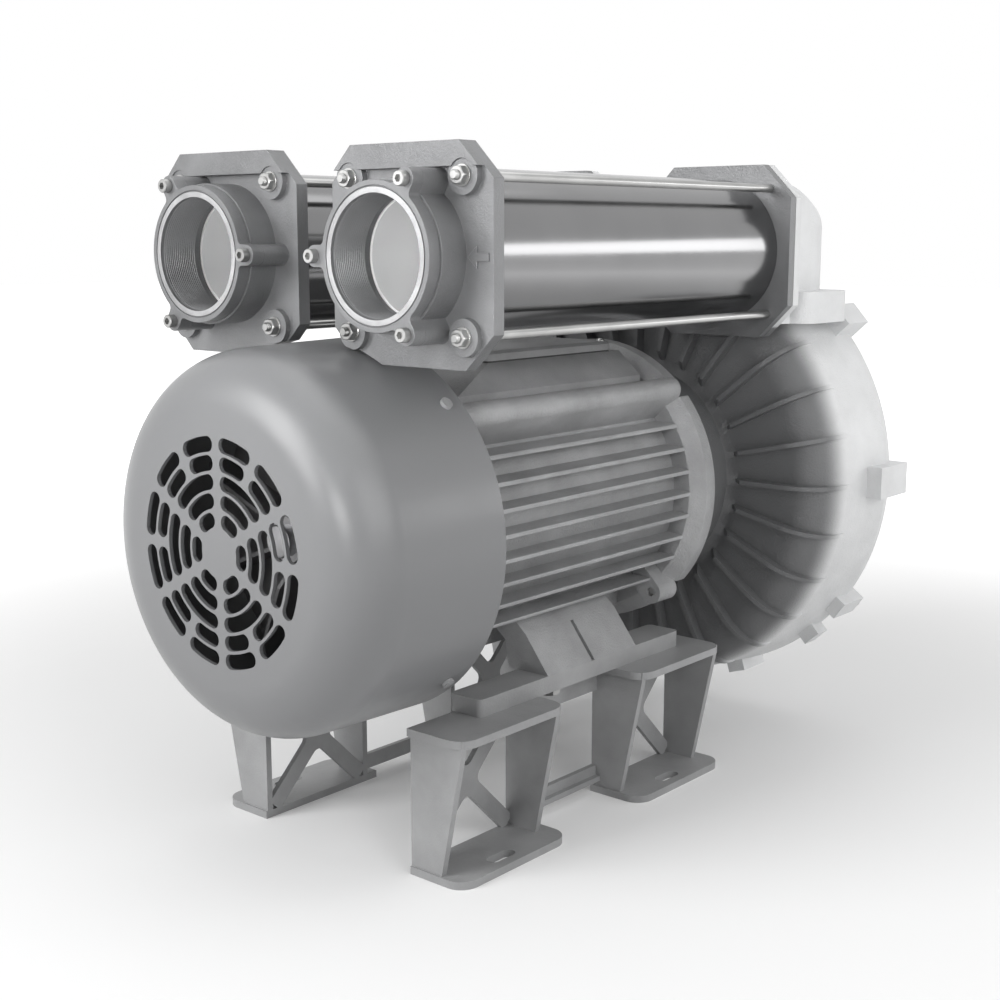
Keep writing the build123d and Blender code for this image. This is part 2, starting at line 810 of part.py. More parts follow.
shoulder_thickness = 36.0
shoulder_inset = 10.0
shoulder_corner = 24.0
shoulder_base = axis_height + shoulder_top - shoulder_thickness
block_front_corner = 20.0
block_rear_corner = 62.0
seal_depth = 3.0


def side_channel(floor, start_angle, sweep, toward):
    """Cuts a half round channel into a floor plane, open towards the impeller."""
    channel_plane = radial_plane(start_angle)
    with BuildSketch(channel_plane) as section:
        with Locations((floor, channel_centre)):
            Circle(channel_radius)
        with Locations((floor - toward * channel_radius / 2, channel_centre)):
            Rectangle(channel_radius, 2 * channel_radius, mode=Mode.SUBTRACT)
    revolve(section.sketch, axis=shaft_axis, revolution_arc=sweep, mode=Mode.SUBTRACT)


def lug_block(start, depth, angle, reach, width):
    """One square lug that stands out of the casing's rim at angle."""
    inner = casing_radius - casing_wall
    with BuildSketch(cross_plane(start)) as outline:
        with Locations(Rotation(0, 0, angle)):
            with Locations(((reach + inner) / 2, 0)):
                Rectangle(reach - inner, width)
    extrude(outline.sketch, amount=depth)


def octagon_plate(x, side, width, corner, depth):
    """One eight-sided plate across a silencer's axis."""
    with BuildSketch(silencer_plane(x, side)) as outline:
        add(octagon(width, corner))
    extrude(outline.sketch, amount=depth)


def silencer_cut(x, side, radius, depth, mode=Mode.SUBTRACT):
    """A round hole, or a round piece, on a silencer's axis."""
    with BuildSketch(silencer_plane(x, side)) as outline:
        Circle(radius)
    extrude(outline.sketch, amount=depth, mode=mode)


def rod_points():
    """The four tie rods' places about a silencer's axis."""
    return GridLocations(rod_spacing, rod_spacing, 2, 2)


with BuildPart() as port_block:
    with BuildSketch(Plane.XZ):
        with BuildLine():
            Polyline(
                (x_parting, shoulder_base),
                (x_port_block, shoulder_base),
                (x_port_block, block_top),
                (x_port_block + block_brow, block_top),
            )
            ThreePointArc(
                (x_port_block + block_brow, block_top),
                (x_port_block + elbow_radius, block_top - port_block_drop * 0.32),
                (x_parting, block_rear_top),
            )
            Line((x_parting, block_rear_top), (x_parting, shoulder_base))
        make_face()
    extrude(amount=port_block_half, both=True)
    with BuildSketch(Plane.XY.offset(shoulder_base)) as block_plan:
        with Locations(((x_port_block + x_parting) / 2, 0)):
            Rectangle(x_parting - x_port_block, 2 * port_block_half)
        fillet(block_plan.vertices().group_by(Axis.X)[-1], radius=block_rear_corner)
        fillet(block_plan.vertices().group_by(Axis.X)[0], radius=block_front_corner)
    extrude(amount=block_top - shoulder_base, mode=Mode.INTERSECT)

with BuildPart() as blower_casing:
    with BuildSketch(profile_plane):
        with BuildLine():
            Polyline(
                (x_parting, 0),
                (x_motor_face, 0),
                (x_motor_face, flange_radius),
                (x_motor_face + flange_depth, flange_radius),
                (x_motor_face + flange_depth, neck_radius),
                (x_dome - 6, neck_radius),
                (x_dome, neck_radius + 12),
                (x_dome, casing_radius - dome_corner),
            )
            RadiusArc(
                (x_dome, casing_radius - dome_corner),
                (x_dome_shoulder, casing_radius),
                dome_corner,
            )
            Polyline(
                (x_dome_shoulder, casing_radius),
                (x_parting, parting_radius),
                (x_parting, 0),
            )
        make_face()
    revolve(axis=shaft_axis)
    for rib in range(rib_count):
        with BuildSketch(radial_plane(rib * 360 / rib_count)):
            with BuildLine():
                Polyline(
                    (x_dome_shoulder, casing_radius - casing_wall / 2),
                    (x_dome + casing_wall / 2, neck_radius + 16),
                    (x_dome - 2, neck_radius + 10),
                    (x_crest, neck_radius + 22),
                    (x_crest, casing_radius - dome_corner - 4),
                )
                RadiusArc(
                    (x_crest, casing_radius - dome_corner - 4),
                    (x_dome_shoulder + 2, casing_radius + 1),
                    dome_corner + 8,
                )
                Line(
                    (x_dome_shoulder + 2, casing_radius + 1),
                    (x_dome_shoulder, casing_radius - casing_wall / 2),
                )
            make_face()
    extrude(amount=rib_thickness / 2, both=True)
    add(port_block.part)
    with BuildSketch(Plane.XY.offset(shoulder_base)):
        with Locations(((x_dome + x_parting) / 2, 0)):
            RectangleRounded(
                x_parting - x_dome - 2 * shoulder_inset, 2 * shoulder_half, shoulder_corner
            )
    extrude(amount=shoulder_thickness)
    for angle, (reach, width, depth) in lug_shapes.items():
        lug_block(x_parting - depth, depth, angle, reach, width)
    for angle in pad_angles:
        reach, width, depth = small_lug
        lug_block(x_parting - depth, depth, angle, reach, width)
    for side in sides:
        octagon_plate(
            x_port_flange, side, rear_plate_width, rear_plate_chamfer, rear_plate_thickness
        )
    revolved(
        [
            (x_motor_face, 0),
            (x_motor_face, neck_bore),
            (x_casing_floor - floor_thickness, neck_bore),
            (x_casing_floor - floor_thickness, seal_radius + hub_wall),
            (x_casing_floor - 2 * floor_thickness, seal_radius + hub_wall - 4),
            (x_casing_floor - 2 * floor_thickness, seal_radius),
            (x_casing_floor - 4, seal_radius),
            (x_casing_floor - 4, extension_radius + lip_gap),
            (x_casing_floor, extension_radius + lip_gap),
            (x_casing_floor, cavity_radius),
            (x_parting, cavity_radius),
            (x_parting, 0),
        ],
        mode=Mode.SUBTRACT,
    )
    side_channel(x_casing_floor, 90 + stripper_angle / 2, 360 - stripper_angle, -1)
    for side in sides:
        silencer_cut(x_port_flange, side, duct_radius, rear_plate_thickness)
        with BuildSketch(silencer_plane(x_port_block, side)) as duct_mouth:
            Circle(duct_radius)
        elbow_axis = Axis((x_port_block, 0, elbow_height), (0, 1, 0))
        revolve(
            duct_mouth.sketch, axis=elbow_axis, revolution_arc=90, mode=Mode.SUBTRACT
        )
        with BuildSketch(Plane.XY.offset(elbow_height)):
            with Locations((x_elbow, side * silencer_offset)):
                Circle(duct_radius)
        extrude(amount=-elbow_radius / 2, mode=Mode.SUBTRACT)
        with BuildSketch(silencer_plane(x_port_flange, side)):
            with rod_points():
                Circle(rod_radius)
        extrude(amount=rear_plate_thickness, mode=Mode.SUBTRACT)
    for angle in lug_shapes:
        with BuildSketch(cross_plane(x_parting)):
            with Locations(polar_point(lug_bolt_circle, angle)):
                Circle(m10_radius)
        extrude(amount=-lug_hole_depth, mode=Mode.SUBTRACT)
    for angle in mount_bolt_angles:
        with BuildSketch(cross_plane(x_motor_face)):
            with Locations(polar_point(mount_bolt_circle, angle)):
                Circle(m10_radius)
        extrude(amount=flange_depth, mode=Mode.SUBTRACT)
    with BuildSketch(cross_plane(x_parting)):
        Circle(cavity_radius + 8)
        Circle(cavity_radius + 4, mode=Mode.SUBTRACT)
    extrude(amount=-seal_depth, mode=Mode.SUBTRACT)
blower_casing.part.label = "blower_casing"
export_step(blower_casing.part, "parts/blower_casing.step")

with BuildPart() as casing_seal:
    sleeve(cross_plane(x_parting), cavity_radius + 8, cavity_radius + 4, -seal_depth)
casing_seal.part.label = "casing_seal"
export_step(casing_seal.part, "parts/casing_seal.step")

# Blower cover: a ring bulge over its half of the side channel, ribbed about a dished centre
cover_lug_depth = 26.0
cover_clearance = 11.0
cover_centre_wall = 14.0
bolt_face_radius = 60.0
x_bulge = x_back - cover_rib_height
x_dish = x_cover_floor + cover_clearance
fit_gap = 0.3
with BuildPart() as blower_cover:
    with BuildSketch(profile_plane):
        with BuildLine():
            Polyline(
                (x_dish + cover_centre_wall, 0),
                (x_dish, 0),
                (x_dish, bolt_face_radius - 4),
                (x_cover_floor, bolt_face_radius),
                (x_cover_floor, cavity_radius - fit_gap),
                (x_parting, cavity_radius - fit_gap),
                (x_parting, parting_radius),
                (x_parting + casing_wall, parting_radius - 2),
            )
            RadiusArc(
                (x_parting + casing_wall, parting_radius - 2),
                (x_bulge, channel_centre + 20),
                x_bulge - x_parting + 6,
            )
            Polyline(
                (x_bulge, channel_centre + 20),
                (x_bulge, channel_centre - 20),
                (x_dish + cover_centre_wall, blade_root - casing_wall - 8),
                (x_dish + cover_centre_wall, 0),
            )
        make_face()
    revolve(axis=shaft_axis)
    for rib in range(cover_rib_count):
        with BuildSketch(radial_plane(rib * 360 / cover_rib_count)):
            with BuildLine():
                Polyline(
                    (x_dish + casing_wall, bolt_face_radius),
                    (x_bulge, bolt_face_radius),
                    (x_back, bolt_face_radius + 20),
                    (x_back, channel_centre + 16),
                    (x_parting + casing_wall, channel_centre + 50),
                    (x_parting + casing_wall / 2, channel_centre),
                    close=True,
                )
            make_face()
    extrude(amount=rib_thickness / 2, both=True)
    for angle, (reach, width, depth) in lug_shapes.items():
        lug_block(x_parting, cover_lug_depth, angle, reach, width)
    side_channel(x_cover_floor, 90 + stripper_angle / 2, 360 - stripper_angle, 1)
    for angle in lug_shapes:
        with BuildSketch(cross_plane(x_parting)):
            with Locations(polar_point(lug_bolt_circle, angle)):
                Circle(m10_radius)
        extrude(amount=cover_lug_depth, mode=Mode.SUBTRACT)
blower_cover.part.label = "blower_cover"
export_step(blower_cover.part, "parts/blower_cover.step")

with BuildPart() as shaft_seal:
    sleeve(
        cross_plane(x_casing_floor - 4),
        seal_radius,
        extension_radius + running_gap,
        -12,
    )
shaft_seal.part.label = "shaft_seal"
export_step(shaft_seal.part, "parts/shaft_seal.step")

with BuildPart() as casing_bolts:
    for angle in lug_shapes:
        seat = Plane(
            origin=facing_plane(x_parting + cover_lug_depth, lug_bolt_circle, angle).origin,
            x_dir=(0, 1, 0),
            z_dir=(1, 0, 0),
        )
        hex_bolt(seat, m10_flats, m10_head, m10_radius, cover_lug_depth + lug_hole_depth - 2)
casing_bolts.part.label = "casing_bolts"
export_step(casing_bolts.part, "parts/casing_bolts.step")

with BuildPart() as casing_mount_bolts:
    for angle in mount_bolt_angles:
        face = x_motor_face + flange_depth
        seat = Plane(
            origin=facing_plane(face, mount_bolt_circle, angle).origin,
            x_dir=(0, 1, 0),
            z_dir=(1, 0, 0),
        )
        hex_bolt(seat, m10_flats, m10_head, m10_radius, flange_depth + mount_bolt_bite - 1)
casing_mount_bolts.part.label = "casing_mount_bolts"
export_step(casing_mount_bolts.part, "parts/casing_mount_bolts.step")

# Terminal box: a hipped casting on the motor's top, with its lid set back from one end
box_top_start_offset = 305.0
box_top_width = 120.0
box_height = 26.0
box_wall = 9.0
box_floor = 6.0
lid_length = 207.0
lid_height = 10.0
gasket_thickness = 2.0
entry_radius = 10.0
entry_wall = 4.0
entry_reach = 108.0
lid_screw_radius = 2.5
lid_screw_bite = 12.0
lid_head_radius = 4.5
lid_head_height = 3.0
box_base_height = axis_height + box_base_rise
x_box_top = x_face + box_top_start_offset
x_box_end = x_box + box_length
entry_height = box_base_height + entry_radius + entry_wall + 0.5
lid_screw_inset = 7.0


def level_rectangle(start, end, width, height):
    """A flat rectangle at the given height, between two stations along the motor."""
    with BuildSketch(Plane.XY.offset(height)) as outline:
        with Locations(((start + end) / 2, 0)):
            Rectangle(end - start, width)
    return outline.sketch


x_lid_end = x_box_top + lid_length
lid_screw_points = [
    (x, side * (box_top_width / 2 - lid_screw_inset))
    for x in (x_box_top + lid_screw_inset, x_lid_end - lid_screw_inset)
    for side in sides
]
box_top = box_base_height + box_height
x_entry = x_face + 470
with BuildPart() as terminal_box:
    loft(
        [
            level_rectangle(x_box, x_box_end, box_base_width, box_base_height),
            level_rectangle(x_box_top, x_box_end, box_top_width, box_top),
        ]
    )
    with BuildSketch(Plane.XZ.offset(-entry_reach)):
        with Locations((x_entry, entry_height)):
            Circle(entry_radius + entry_wall)
    extrude(amount=entry_reach - box_top_width / 2 - 4)
    loft(
        [
            level_rectangle(
                x_box + 2.5 * box_wall,
                x_lid_end - box_wall,
                box_base_width - 3 * box_wall,
                box_base_height + box_floor,
            ),
            level_rectangle(
                x_box_top + box_wall * 1.5,
                x_lid_end - box_wall * 1.5,
                box_top_width - 3 * box_wall,
                box_top,
            ),
        ],
        mode=Mode.SUBTRACT,
    )
    with BuildSketch(Plane.XZ.offset(-entry_reach)):
        with Locations((x_entry, entry_height)):
            Circle(entry_radius)
    extrude(amount=entry_reach - box_top_width / 2 + box_wall, mode=Mode.SUBTRACT)
    with BuildSketch(Plane.XY.offset(box_base_height)):
        with Locations((x_lead_hole, 0)):
            Circle(lead_hole_radius)
    extrude(amount=box_floor, mode=Mode.SUBTRACT)
    with BuildSketch(Plane.XY.offset(box_top)):
        with Locations(*lid_screw_points):
            Circle(lid_screw_radius)
    extrude(amount=-lid_screw_bite, mode=Mode.SUBTRACT)
terminal_box.part.label = "terminal_box"
export_step(terminal_box.part, "parts/terminal_box.step")

with BuildPart() as terminal_box_gasket:
    with BuildSketch(Plane.XY.offset(box_top)):
        with Locations(((x_box_top + x_lid_end) / 2, 0)):
            Rectangle(lid_length, box_top_width)
            Rectangle(
                lid_length - 3 * box_wall, box_top_width - 3 * box_wall, mode=Mode.SUBTRACT
            )
        with Locations(*lid_screw_points):
            Circle(lid_screw_radius, mode=Mode.SUBTRACT)
    extrude(amount=gasket_thickness)
terminal_box_gasket.part.label = "terminal_box_gasket"
export_step(terminal_box_gasket.part, "parts/terminal_box_gasket.step")

lid_base = box_top + gasket_thickness
with BuildPart() as terminal_box_lid:
    with BuildSketch(Plane.XY.offset(lid_base)):
        with Locations(((x_box_top + x_lid_end) / 2, 0)):
            RectangleRounded(lid_length + 4, box_top_width + 4, 6)
    extrude(amount=lid_height)
    top_edges = terminal_box_lid.faces().sort_by(Axis.Z)[-1].edges()
    chamfer(top_edges, length=3)
    with BuildSketch(Plane.XY.offset(lid_base)):
        with Locations(*lid_screw_points):
            Circle(lid_screw_radius)
    extrude(amount=lid_height, mode=Mode.SUBTRACT)
    with BuildSketch(Plane.XY.offset(lid_base)):
        with Locations(((x_box_top + x_lid_end) / 2, 0)):
            Rectangle(lid_length - 3 * box_wall, box_top_width - 3 * box_wall)
    extrude(amount=lid_height - 4, mode=Mode.SUBTRACT)
terminal_box_lid.part.label = "terminal_box_lid"
export_step(terminal_box_lid.part, "parts/terminal_box_lid.step")

with BuildPart() as lid_screws:
    for x, y in lid_screw_points:
        seat = Plane.XY.offset(lid_base + lid_height).shift_origin((x, y, lid_base + lid_height))
        disc(seat, lid_head_radius, lid_head_height)
        disc(seat, lid_screw_radius, 2 - lid_height - gasket_thickness - lid_screw_bite)
lid_screws.part.label = "lid_screws"
export_step(lid_screws.part, "parts/lid_screws.step")

block_length = 84.0
block_width = 50.0
x_block = x_lead_hole - lead_hole_radius - 6 - block_length / 2
with BuildPart() as terminal_block:
    block_floor = Plane.XY.offset(box_base_height + box_floor)
    with BuildSketch(block_floor):
        with Locations((x_block, 0)):
            Rectangle(block_length, block_width)
    extrude(amount=10)
    with BuildSketch(block_floor.offset(10)):
        with Locations((x_block, 0)):
            with GridLocations(block_length / 3, block_width / 2, 3, 2):
                Circle(3)
    extrude(amount=6)
terminal_block.part.label = "terminal_block"
export_step(terminal_block.part, "parts/terminal_block.step")

# Silencers: on each side a threaded port flange, a drum with its front plate, a tube lined
# with absorbent about a perforated core, and a rear plate. Four tie rods clamp them.
outlet = 1
groove_depth = 3.0
gasket_sheet = 1.0
spigot_radius = 60.2
core_outer = 56.0
core_inner = 53.0
core_gap = 1.0
liner_gap = 0.3
boss_radius = 13.0
boss_rise = 6.4
port_lug_radius = 10.0
nut_flats = 15.0
nut_height = 8.0
port_screw_head = 6.5
port_screw_radius = 4.0
port_screw_rise = 8.0
port_key_flats = 6.0
port_key_depth = 4.0
port_screw_bite = 20.0
band_height = 22.0
band_rise = 8.0
cowl_gap = 2.0
x_drum = x_port_face + port_flange_thickness
x_plate_back = x_front_plate + front_plate_thickness
x_rear_plate_end = x_rear_plate + rear_plate_thickness - gasket_sheet
x_nut_face = x_front_plate - boss_rise
x_rod_end = x_port_flange + rear_plate_thickness - 2


def port_lug_points():
    """The three port screws' places about a silencer's axis, one towards the middle."""
    return PolarLocations(port_bolt_circle, 3, start_angle=180)


with BuildPart() as outlet_port_flange:
    with BuildSketch(silencer_plane(x_port_face, outlet)) as flange_outline:
        Circle(port_flange_radius)
        with port_lug_points():
            with Locations((-port_lug_radius, 0)):
                Rectangle(2 * port_lug_radius, 2 * port_lug_radius)
            Circle(port_lug_radius)
        corners = [
            corner
            for corner in flange_outline.vertices()
            if abs(hypot(corner.X, corner.Y) - port_flange_radius) < 0.1
        ]
        fillet(corners, radius=5)
        Circle(port_radius, mode=Mode.SUBTRACT)
    extrude(amount=port_flange_thickness)
    sleeve(silencer_plane(x_drum, outlet), spigot_radius, port_radius, x_port_back - x_drum)
    with BuildSketch(silencer_plane(x_port_face, outlet)):
        Circle(port_radius + 6.6)
        Circle(port_radius + 5.4, mode=Mode.SUBTRACT)
    extrude(amount=1.5, mode=Mode.SUBTRACT)
    with BuildSketch(silencer_plane(x_port_face, outlet)):
        with port_lug_points():
            Circle(port_screw_radius)
    extrude(amount=port_flange_thickness, mode=Mode.SUBTRACT)

with BuildPart() as outlet_front_plate:
    with BuildSketch(silencer_plane(x_front_plate, outlet)):
        add(octagon(front_plate_width, front_plate_chamfer))
    extrude(amount=front_plate_thickness)
    with BuildSketch(silencer_plane(x_front_plate, outlet)):
        add(octagon(front_plate_width, front_plate_chamfer))
        with Locations((0, front_plate_width / 2)):
            Rectangle(front_plate_width, 2 * band_height, mode=Mode.INTERSECT)
    extrude(amount=-band_rise)
    with BuildSketch(silencer_plane(x_front_plate, outlet)):
        with rod_points():
            Circle(boss_radius + 4)
        add(octagon(front_plate_width, front_plate_chamfer), mode=Mode.INTERSECT)
    extrude(amount=-boss_rise)
    with BuildSketch(silencer_plane(x_nut_face, outlet)):
        with rod_points():
            Circle(boss_radius + 1)
    extrude(amount=-band_rise, mode=Mode.SUBTRACT)
    with BuildSketch(silencer_plane(x_drum, outlet)):
        Circle(drum_radius)
        with port_lug_points():
            with Locations((-port_lug_radius, 0)):
                Rectangle(2 * port_lug_radius, 2 * port_lug_radius)
            Circle(port_lug_radius)
    extrude(amount=x_front_plate - x_drum)
    with BuildSketch(silencer_plane(x_drum, outlet)):
        Circle(spigot_radius + fit_gap)
    extrude(amount=x_port_back - x_drum, mode=Mode.SUBTRACT)
    with BuildSketch(silencer_plane(x_port_back, outlet)):
        Circle(core_outer)
        with rod_points():
            Circle(rod_radius)
    extrude(amount=front_plate_thickness, mode=Mode.SUBTRACT)
    with BuildSketch(silencer_plane(x_port_back, outlet)):
        with rod_points():
            Circle(rod_radius)
    extrude(amount=-front_plate_thickness, mode=Mode.SUBTRACT)
    with BuildSketch(silencer_plane(x_plate_back, outlet)):
        Circle(tube_radius)
        Circle(tube_radius - tube_wall, mode=Mode.SUBTRACT)
    extrude(amount=-groove_depth, mode=Mode.SUBTRACT)
    with BuildSketch(silencer_plane(x_drum, outlet)):
        with port_lug_points():
            Circle(port_screw_radius)
    extrude(amount=port_screw_bite, mode=Mode.SUBTRACT)
    cowl_clearance = fan_cover_radius + cowl_gap
    disc(cross_plane(x_nut_face), cowl_clearance, x_plate_back - x_nut_face, Mode.SUBTRACT)

with BuildPart() as outlet_silencer_tube:
    tube_length = x_rear_plate - x_plate_back + 2 * groove_depth
    tube_plane = silencer_plane(x_plate_back - groove_depth, outlet)
    sleeve(tube_plane, tube_radius, tube_radius - tube_wall, tube_length)

with BuildPart() as outlet_silencer_liner:
    sleeve(
        silencer_plane(x_plate_back, outlet),
        tube_radius - tube_wall - liner_gap,
        core_outer + liner_gap,
        x_rear_plate - x_plate_back,
    )

with BuildPart() as outlet_silencer_core:
    sleeve(
        silencer_plane(x_port_back + core_gap, outlet),
        core_outer,
        core_inner,
        x_rear_plate_end - x_port_back - core_gap,
    )

with BuildPart() as outlet_rear_plate:
    with BuildSketch(silencer_plane(x_rear_plate, outlet)):
        add(octagon(rear_plate_width, rear_plate_chamfer))
        Circle(core_outer, mode=Mode.SUBTRACT)
        with rod_points():
            Circle(rod_radius, mode=Mode.SUBTRACT)
    extrude(amount=rear_plate_thickness - gasket_sheet)
    with BuildSketch(silencer_plane(x_rear_plate, outlet)):
        Circle(tube_radius)
        Circle(tube_radius - tube_wall, mode=Mode.SUBTRACT)
    extrude(amount=groove_depth, mode=Mode.SUBTRACT)

with BuildPart() as silencer_gaskets:
    for side in sides:
        with BuildSketch(silencer_plane(x_rear_plate_end, side)):
            add(octagon(rear_plate_width - 4, rear_plate_chamfer))
            Circle(core_outer, mode=Mode.SUBTRACT)
            with rod_points():
                Circle(rod_radius, mode=Mode.SUBTRACT)
        extrude(amount=gasket_sheet)
silencer_gaskets.part.label = "silencer_gaskets"
export_step(silencer_gaskets.part, "parts/silencer_gaskets.step")

rod_tail = 4.0
x_rod = x_nut_face - nut_height - rod_tail
with BuildPart() as tie_rods:
    for side in sides:
        with BuildSketch(silencer_plane(x_rod, side)):
            with rod_points():
                Circle(rod_radius)
        extrude(amount=x_rod_end - x_rod)
tie_rods.part.label = "tie_rods"
export_step(tie_rods.part, "parts/tie_rods.step")

with BuildPart() as tie_rod_nuts:
    for side in sides:
        with BuildSketch(silencer_plane(x_nut_face - nut_height, side)):
            with rod_points():
                RegularPolygon(nut_flats / 2, 6, major_radius=False)
                Circle(rod_radius, mode=Mode.SUBTRACT)
        extrude(amount=nut_height)
tie_rod_nuts.part.label = "tie_rod_nuts"
export_step(tie_rod_nuts.part, "parts/tie_rod_nuts.step")

with BuildPart() as outlet_port_screws:
    with BuildSketch(silencer_plane(x_port_face - port_screw_rise, outlet)):
        with port_lug_points():
            Circle(port_screw_head)
    extrude(amount=port_screw_rise)
    with BuildSketch(silencer_plane(x_port_face, outlet)):
        with port_lug_points():
            Circle(port_screw_radius)
    extrude(amount=port_flange_thickness + port_screw_bite - 2)
    with BuildSketch(silencer_plane(x_port_face - port_screw_rise, outlet)):
        with port_lug_points():
            RegularPolygon(port_key_flats / 2, 6, major_radius=False)
    extrude(amount=port_key_depth, mode=Mode.SUBTRACT)

with BuildPart() as port_screws:
    add(outlet_port_screws.part)
    mirror(outlet_port_screws.part, about=Plane.XZ)
port_screws.part.label = "port_screws"
export_step(port_screws.part, "parts/port_screws.step")

silencer_pieces = {
    "port_flange": outlet_port_flange,
    "front_plate": outlet_front_plate,
    "silencer_tube": outlet_silencer_tube,
    "silencer_liner": outlet_silencer_liner,
    "silencer_core": outlet_silencer_core,
    "rear_plate": outlet_rear_plate,
}
for name, piece in silencer_pieces.items():
    piece.part.label = "outlet_" + name
    export_step(piece.part, "parts/outlet_" + name + ".step")
    with BuildPart() as inlet_piece:
        mirror(piece.part, about=Plane.XZ)
    inlet_piece.part.label = "inlet_" + name
    export_step(inlet_piece.part, "parts/inlet_" + name + ".step")

# Base: two cast rails, each a web with two braced legs, and a bar on each for the motor
x_leg = x_face + rail_start_offset
leg_starts = (x_leg, x_leg + leg_length + leg_gap)
rail_length = 2 * leg_length + leg_gap
strip_depth = 31.0
lower_bar_base = 14.0
lower_bar_depth = 17.0
lower_bar_lip = 6.0
foot_plate_lead = 2.0
top_plate_overhang = 5.0
plate_corner = 20.0
brace_fillet = 10.0
foot_bolt_pocket = 13.0
rail_bolt_places = (77.0, 130.0, 359.0, 393.0)
rail_bolt_offset = 126.0
rail_bolt_bite = 14.0
x_bar = x_face + bar_start_offset
rail_bolt_points = [
    (x_leg + place, side * rail_bolt_offset) for place in rail_bolt_places for side in sides
]
bar_outer = foot_outer
web_back = web_face - web_thickness


def cross_brace(width, height):
    """Two straight struts that cross in the middle, with rounded inner corners."""
    lean = degrees(atan2(height, width))
    with BuildSketch() as outline:
        for turn in (lean, -lean):
            Rectangle(hypot(width, height) - brace_width / 2, brace_width, rotation=turn)
        inner = outline.vertices().sort_by_distance((0, 0))[0:4]
        fillet(inner, radius=brace_fillet)
    return outline.sketch


def web_plane(y):
    """An upright plane along the base at y: its x runs along +X and its y runs up."""
    return Plane(origin=(0, y, 0), x_dir=(1, 0, 0), z_dir=(0, -1, 0))


with BuildPart() as right_rail:
    with BuildSketch(web_plane(web_face)):
        with Locations((x_leg + rail_length / 2, rail_height - strip_depth / 2)):
            Rectangle(rail_length, strip_depth)
        with Locations((x_leg + rail_length / 2, lower_bar_base + lower_bar_depth / 2)):
            Rectangle(rail_length - 2 * leg_length + 2, lower_bar_depth)
        for start in leg_starts:
            brace_height = rail_height - foot_plate_thickness - top_plate_thickness
            with Locations((start + leg_length / 2, foot_plate_thickness + brace_height / 2)):
                add(cross_brace(leg_length - 2 * wall_thickness, brace_height))
            for edge in (start, start + leg_length - wall_thickness):
                with Locations((edge + wall_thickness / 2, rail_height / 2)):
                    Rectangle(wall_thickness, rail_height)
    extrude(amount=web_thickness)
    with BuildSketch(web_plane(web_face + lower_bar_lip)):
        with Locations((x_leg + rail_length / 2, lower_bar_base + lower_bar_lip / 2)):
            Rectangle(leg_gap + 2, lower_bar_lip)
    extrude(amount=lower_bar_lip + 1)
    for start in leg_starts:
        for edge in (start, start + leg_length - wall_thickness):
            with BuildSketch(Plane.YZ.offset(edge)):
                with BuildLine():
                    Polyline(
                        (web_back, 0),
                        (web_face + wall_reach_foot, 0),
                        (web_face + wall_reach_top, rail_height - top_plate_thickness),
                        (web_face + wall_reach_top, rail_height),
                        (web_back, rail_height),
                        close=True,
                    )
                make_face()
            extrude(amount=wall_thickness)
        for base, thickness, lead, tail, reach in (
            (0, foot_plate_thickness, foot_plate_lead, foot_plate_overhang, foot_plate_edge),
            (
                rail_height - top_plate_thickness,
                top_plate_thickness,
                top_plate_overhang,
                top_plate_overhang,
                top_plate_edge,
            ),
        ):
            length = leg_length + lead + tail
            middle = start - lead + length / 2
            with BuildSketch(Plane.XY.offset(base)) as plate:
                with Locations((middle, (web_back + reach) / 2)):
                    Rectangle(length, reach - web_back)
                outer = plate.vertices().group_by(Axis.Y)[-1]
                fillet(outer, radius=plate_corner)
            extrude(amount=thickness)
        with BuildSketch(Plane.XY):
            with Locations((start + leg_length / 2, foot_slot_offset)):
                SlotOverall(foot_slot_length, foot_slot_width)
        extrude(amount=foot_plate_thickness, mode=Mode.SUBTRACT)
    with BuildSketch(Plane.XY.offset(rail_height)):
        with Locations(*[point for point in foot_bolt_points if point[1] > 0]):
            Circle(foot_bolt_pocket)
    extrude(amount=-top_plate_thickness, mode=Mode.SUBTRACT)
    with BuildSketch(Plane.XY.offset(rail_height)):
        with Locations(*[point for point in rail_bolt_points if point[1] > 0]):
            Circle(m10_radius)
    extrude(amount=-top_plate_thickness, mode=Mode.SUBTRACT)

bar_height = base_height - rail_height
with BuildPart() as right_bar:
    with BuildSketch(Plane.XY.offset(rail_height)):
        with Locations((x_bar + bar_length / 2, (bar_inner + bar_outer) / 2)):
            RectangleRounded(bar_length, bar_outer - bar_inner, 6)
    extrude(amount=bar_height)
    with BuildSketch(Plane.XY.offset(rail_height)):
        with Locations(*[point for point in foot_bolt_points if point[1] > 0]):
            Circle(m12_radius)
    extrude(amount=bar_height, mode=Mode.SUBTRACT)
    with BuildSketch(Plane.XY.offset(rail_height)):
        with Locations(*[point for point in rail_bolt_points if point[1] > 0]):
            Circle(m10_radius)
    extrude(amount=rail_bolt_bite, mode=Mode.SUBTRACT)

for name, piece in {"base_rail": right_rail, "support_bar": right_bar}.items():
    piece.part.label = name + "_right"
    export_step(piece.part, "parts/" + name + "_right.step")
    with BuildPart() as left_piece:
        mirror(piece.part, about=Plane.XZ)
    left_piece.part.label = name + "_left"
    export_step(left_piece.part, "parts/" + name + "_left.step")

with BuildPart() as motor_foot_bolts:
    for x, y in foot_bolt_points:
        seat = Plane(origin=(x, y, rail_height), x_dir=(1, 0, 0), z_dir=(0, 0, -1))
        hex_bolt(seat, m12_flats, m12_head, m12_radius, bar_height + foot_bolt_bite - 1)
motor_foot_bolts.part.label = "motor_foot_bolts"
export_step(motor_foot_bolts.part, "parts/motor_foot_bolts.step")

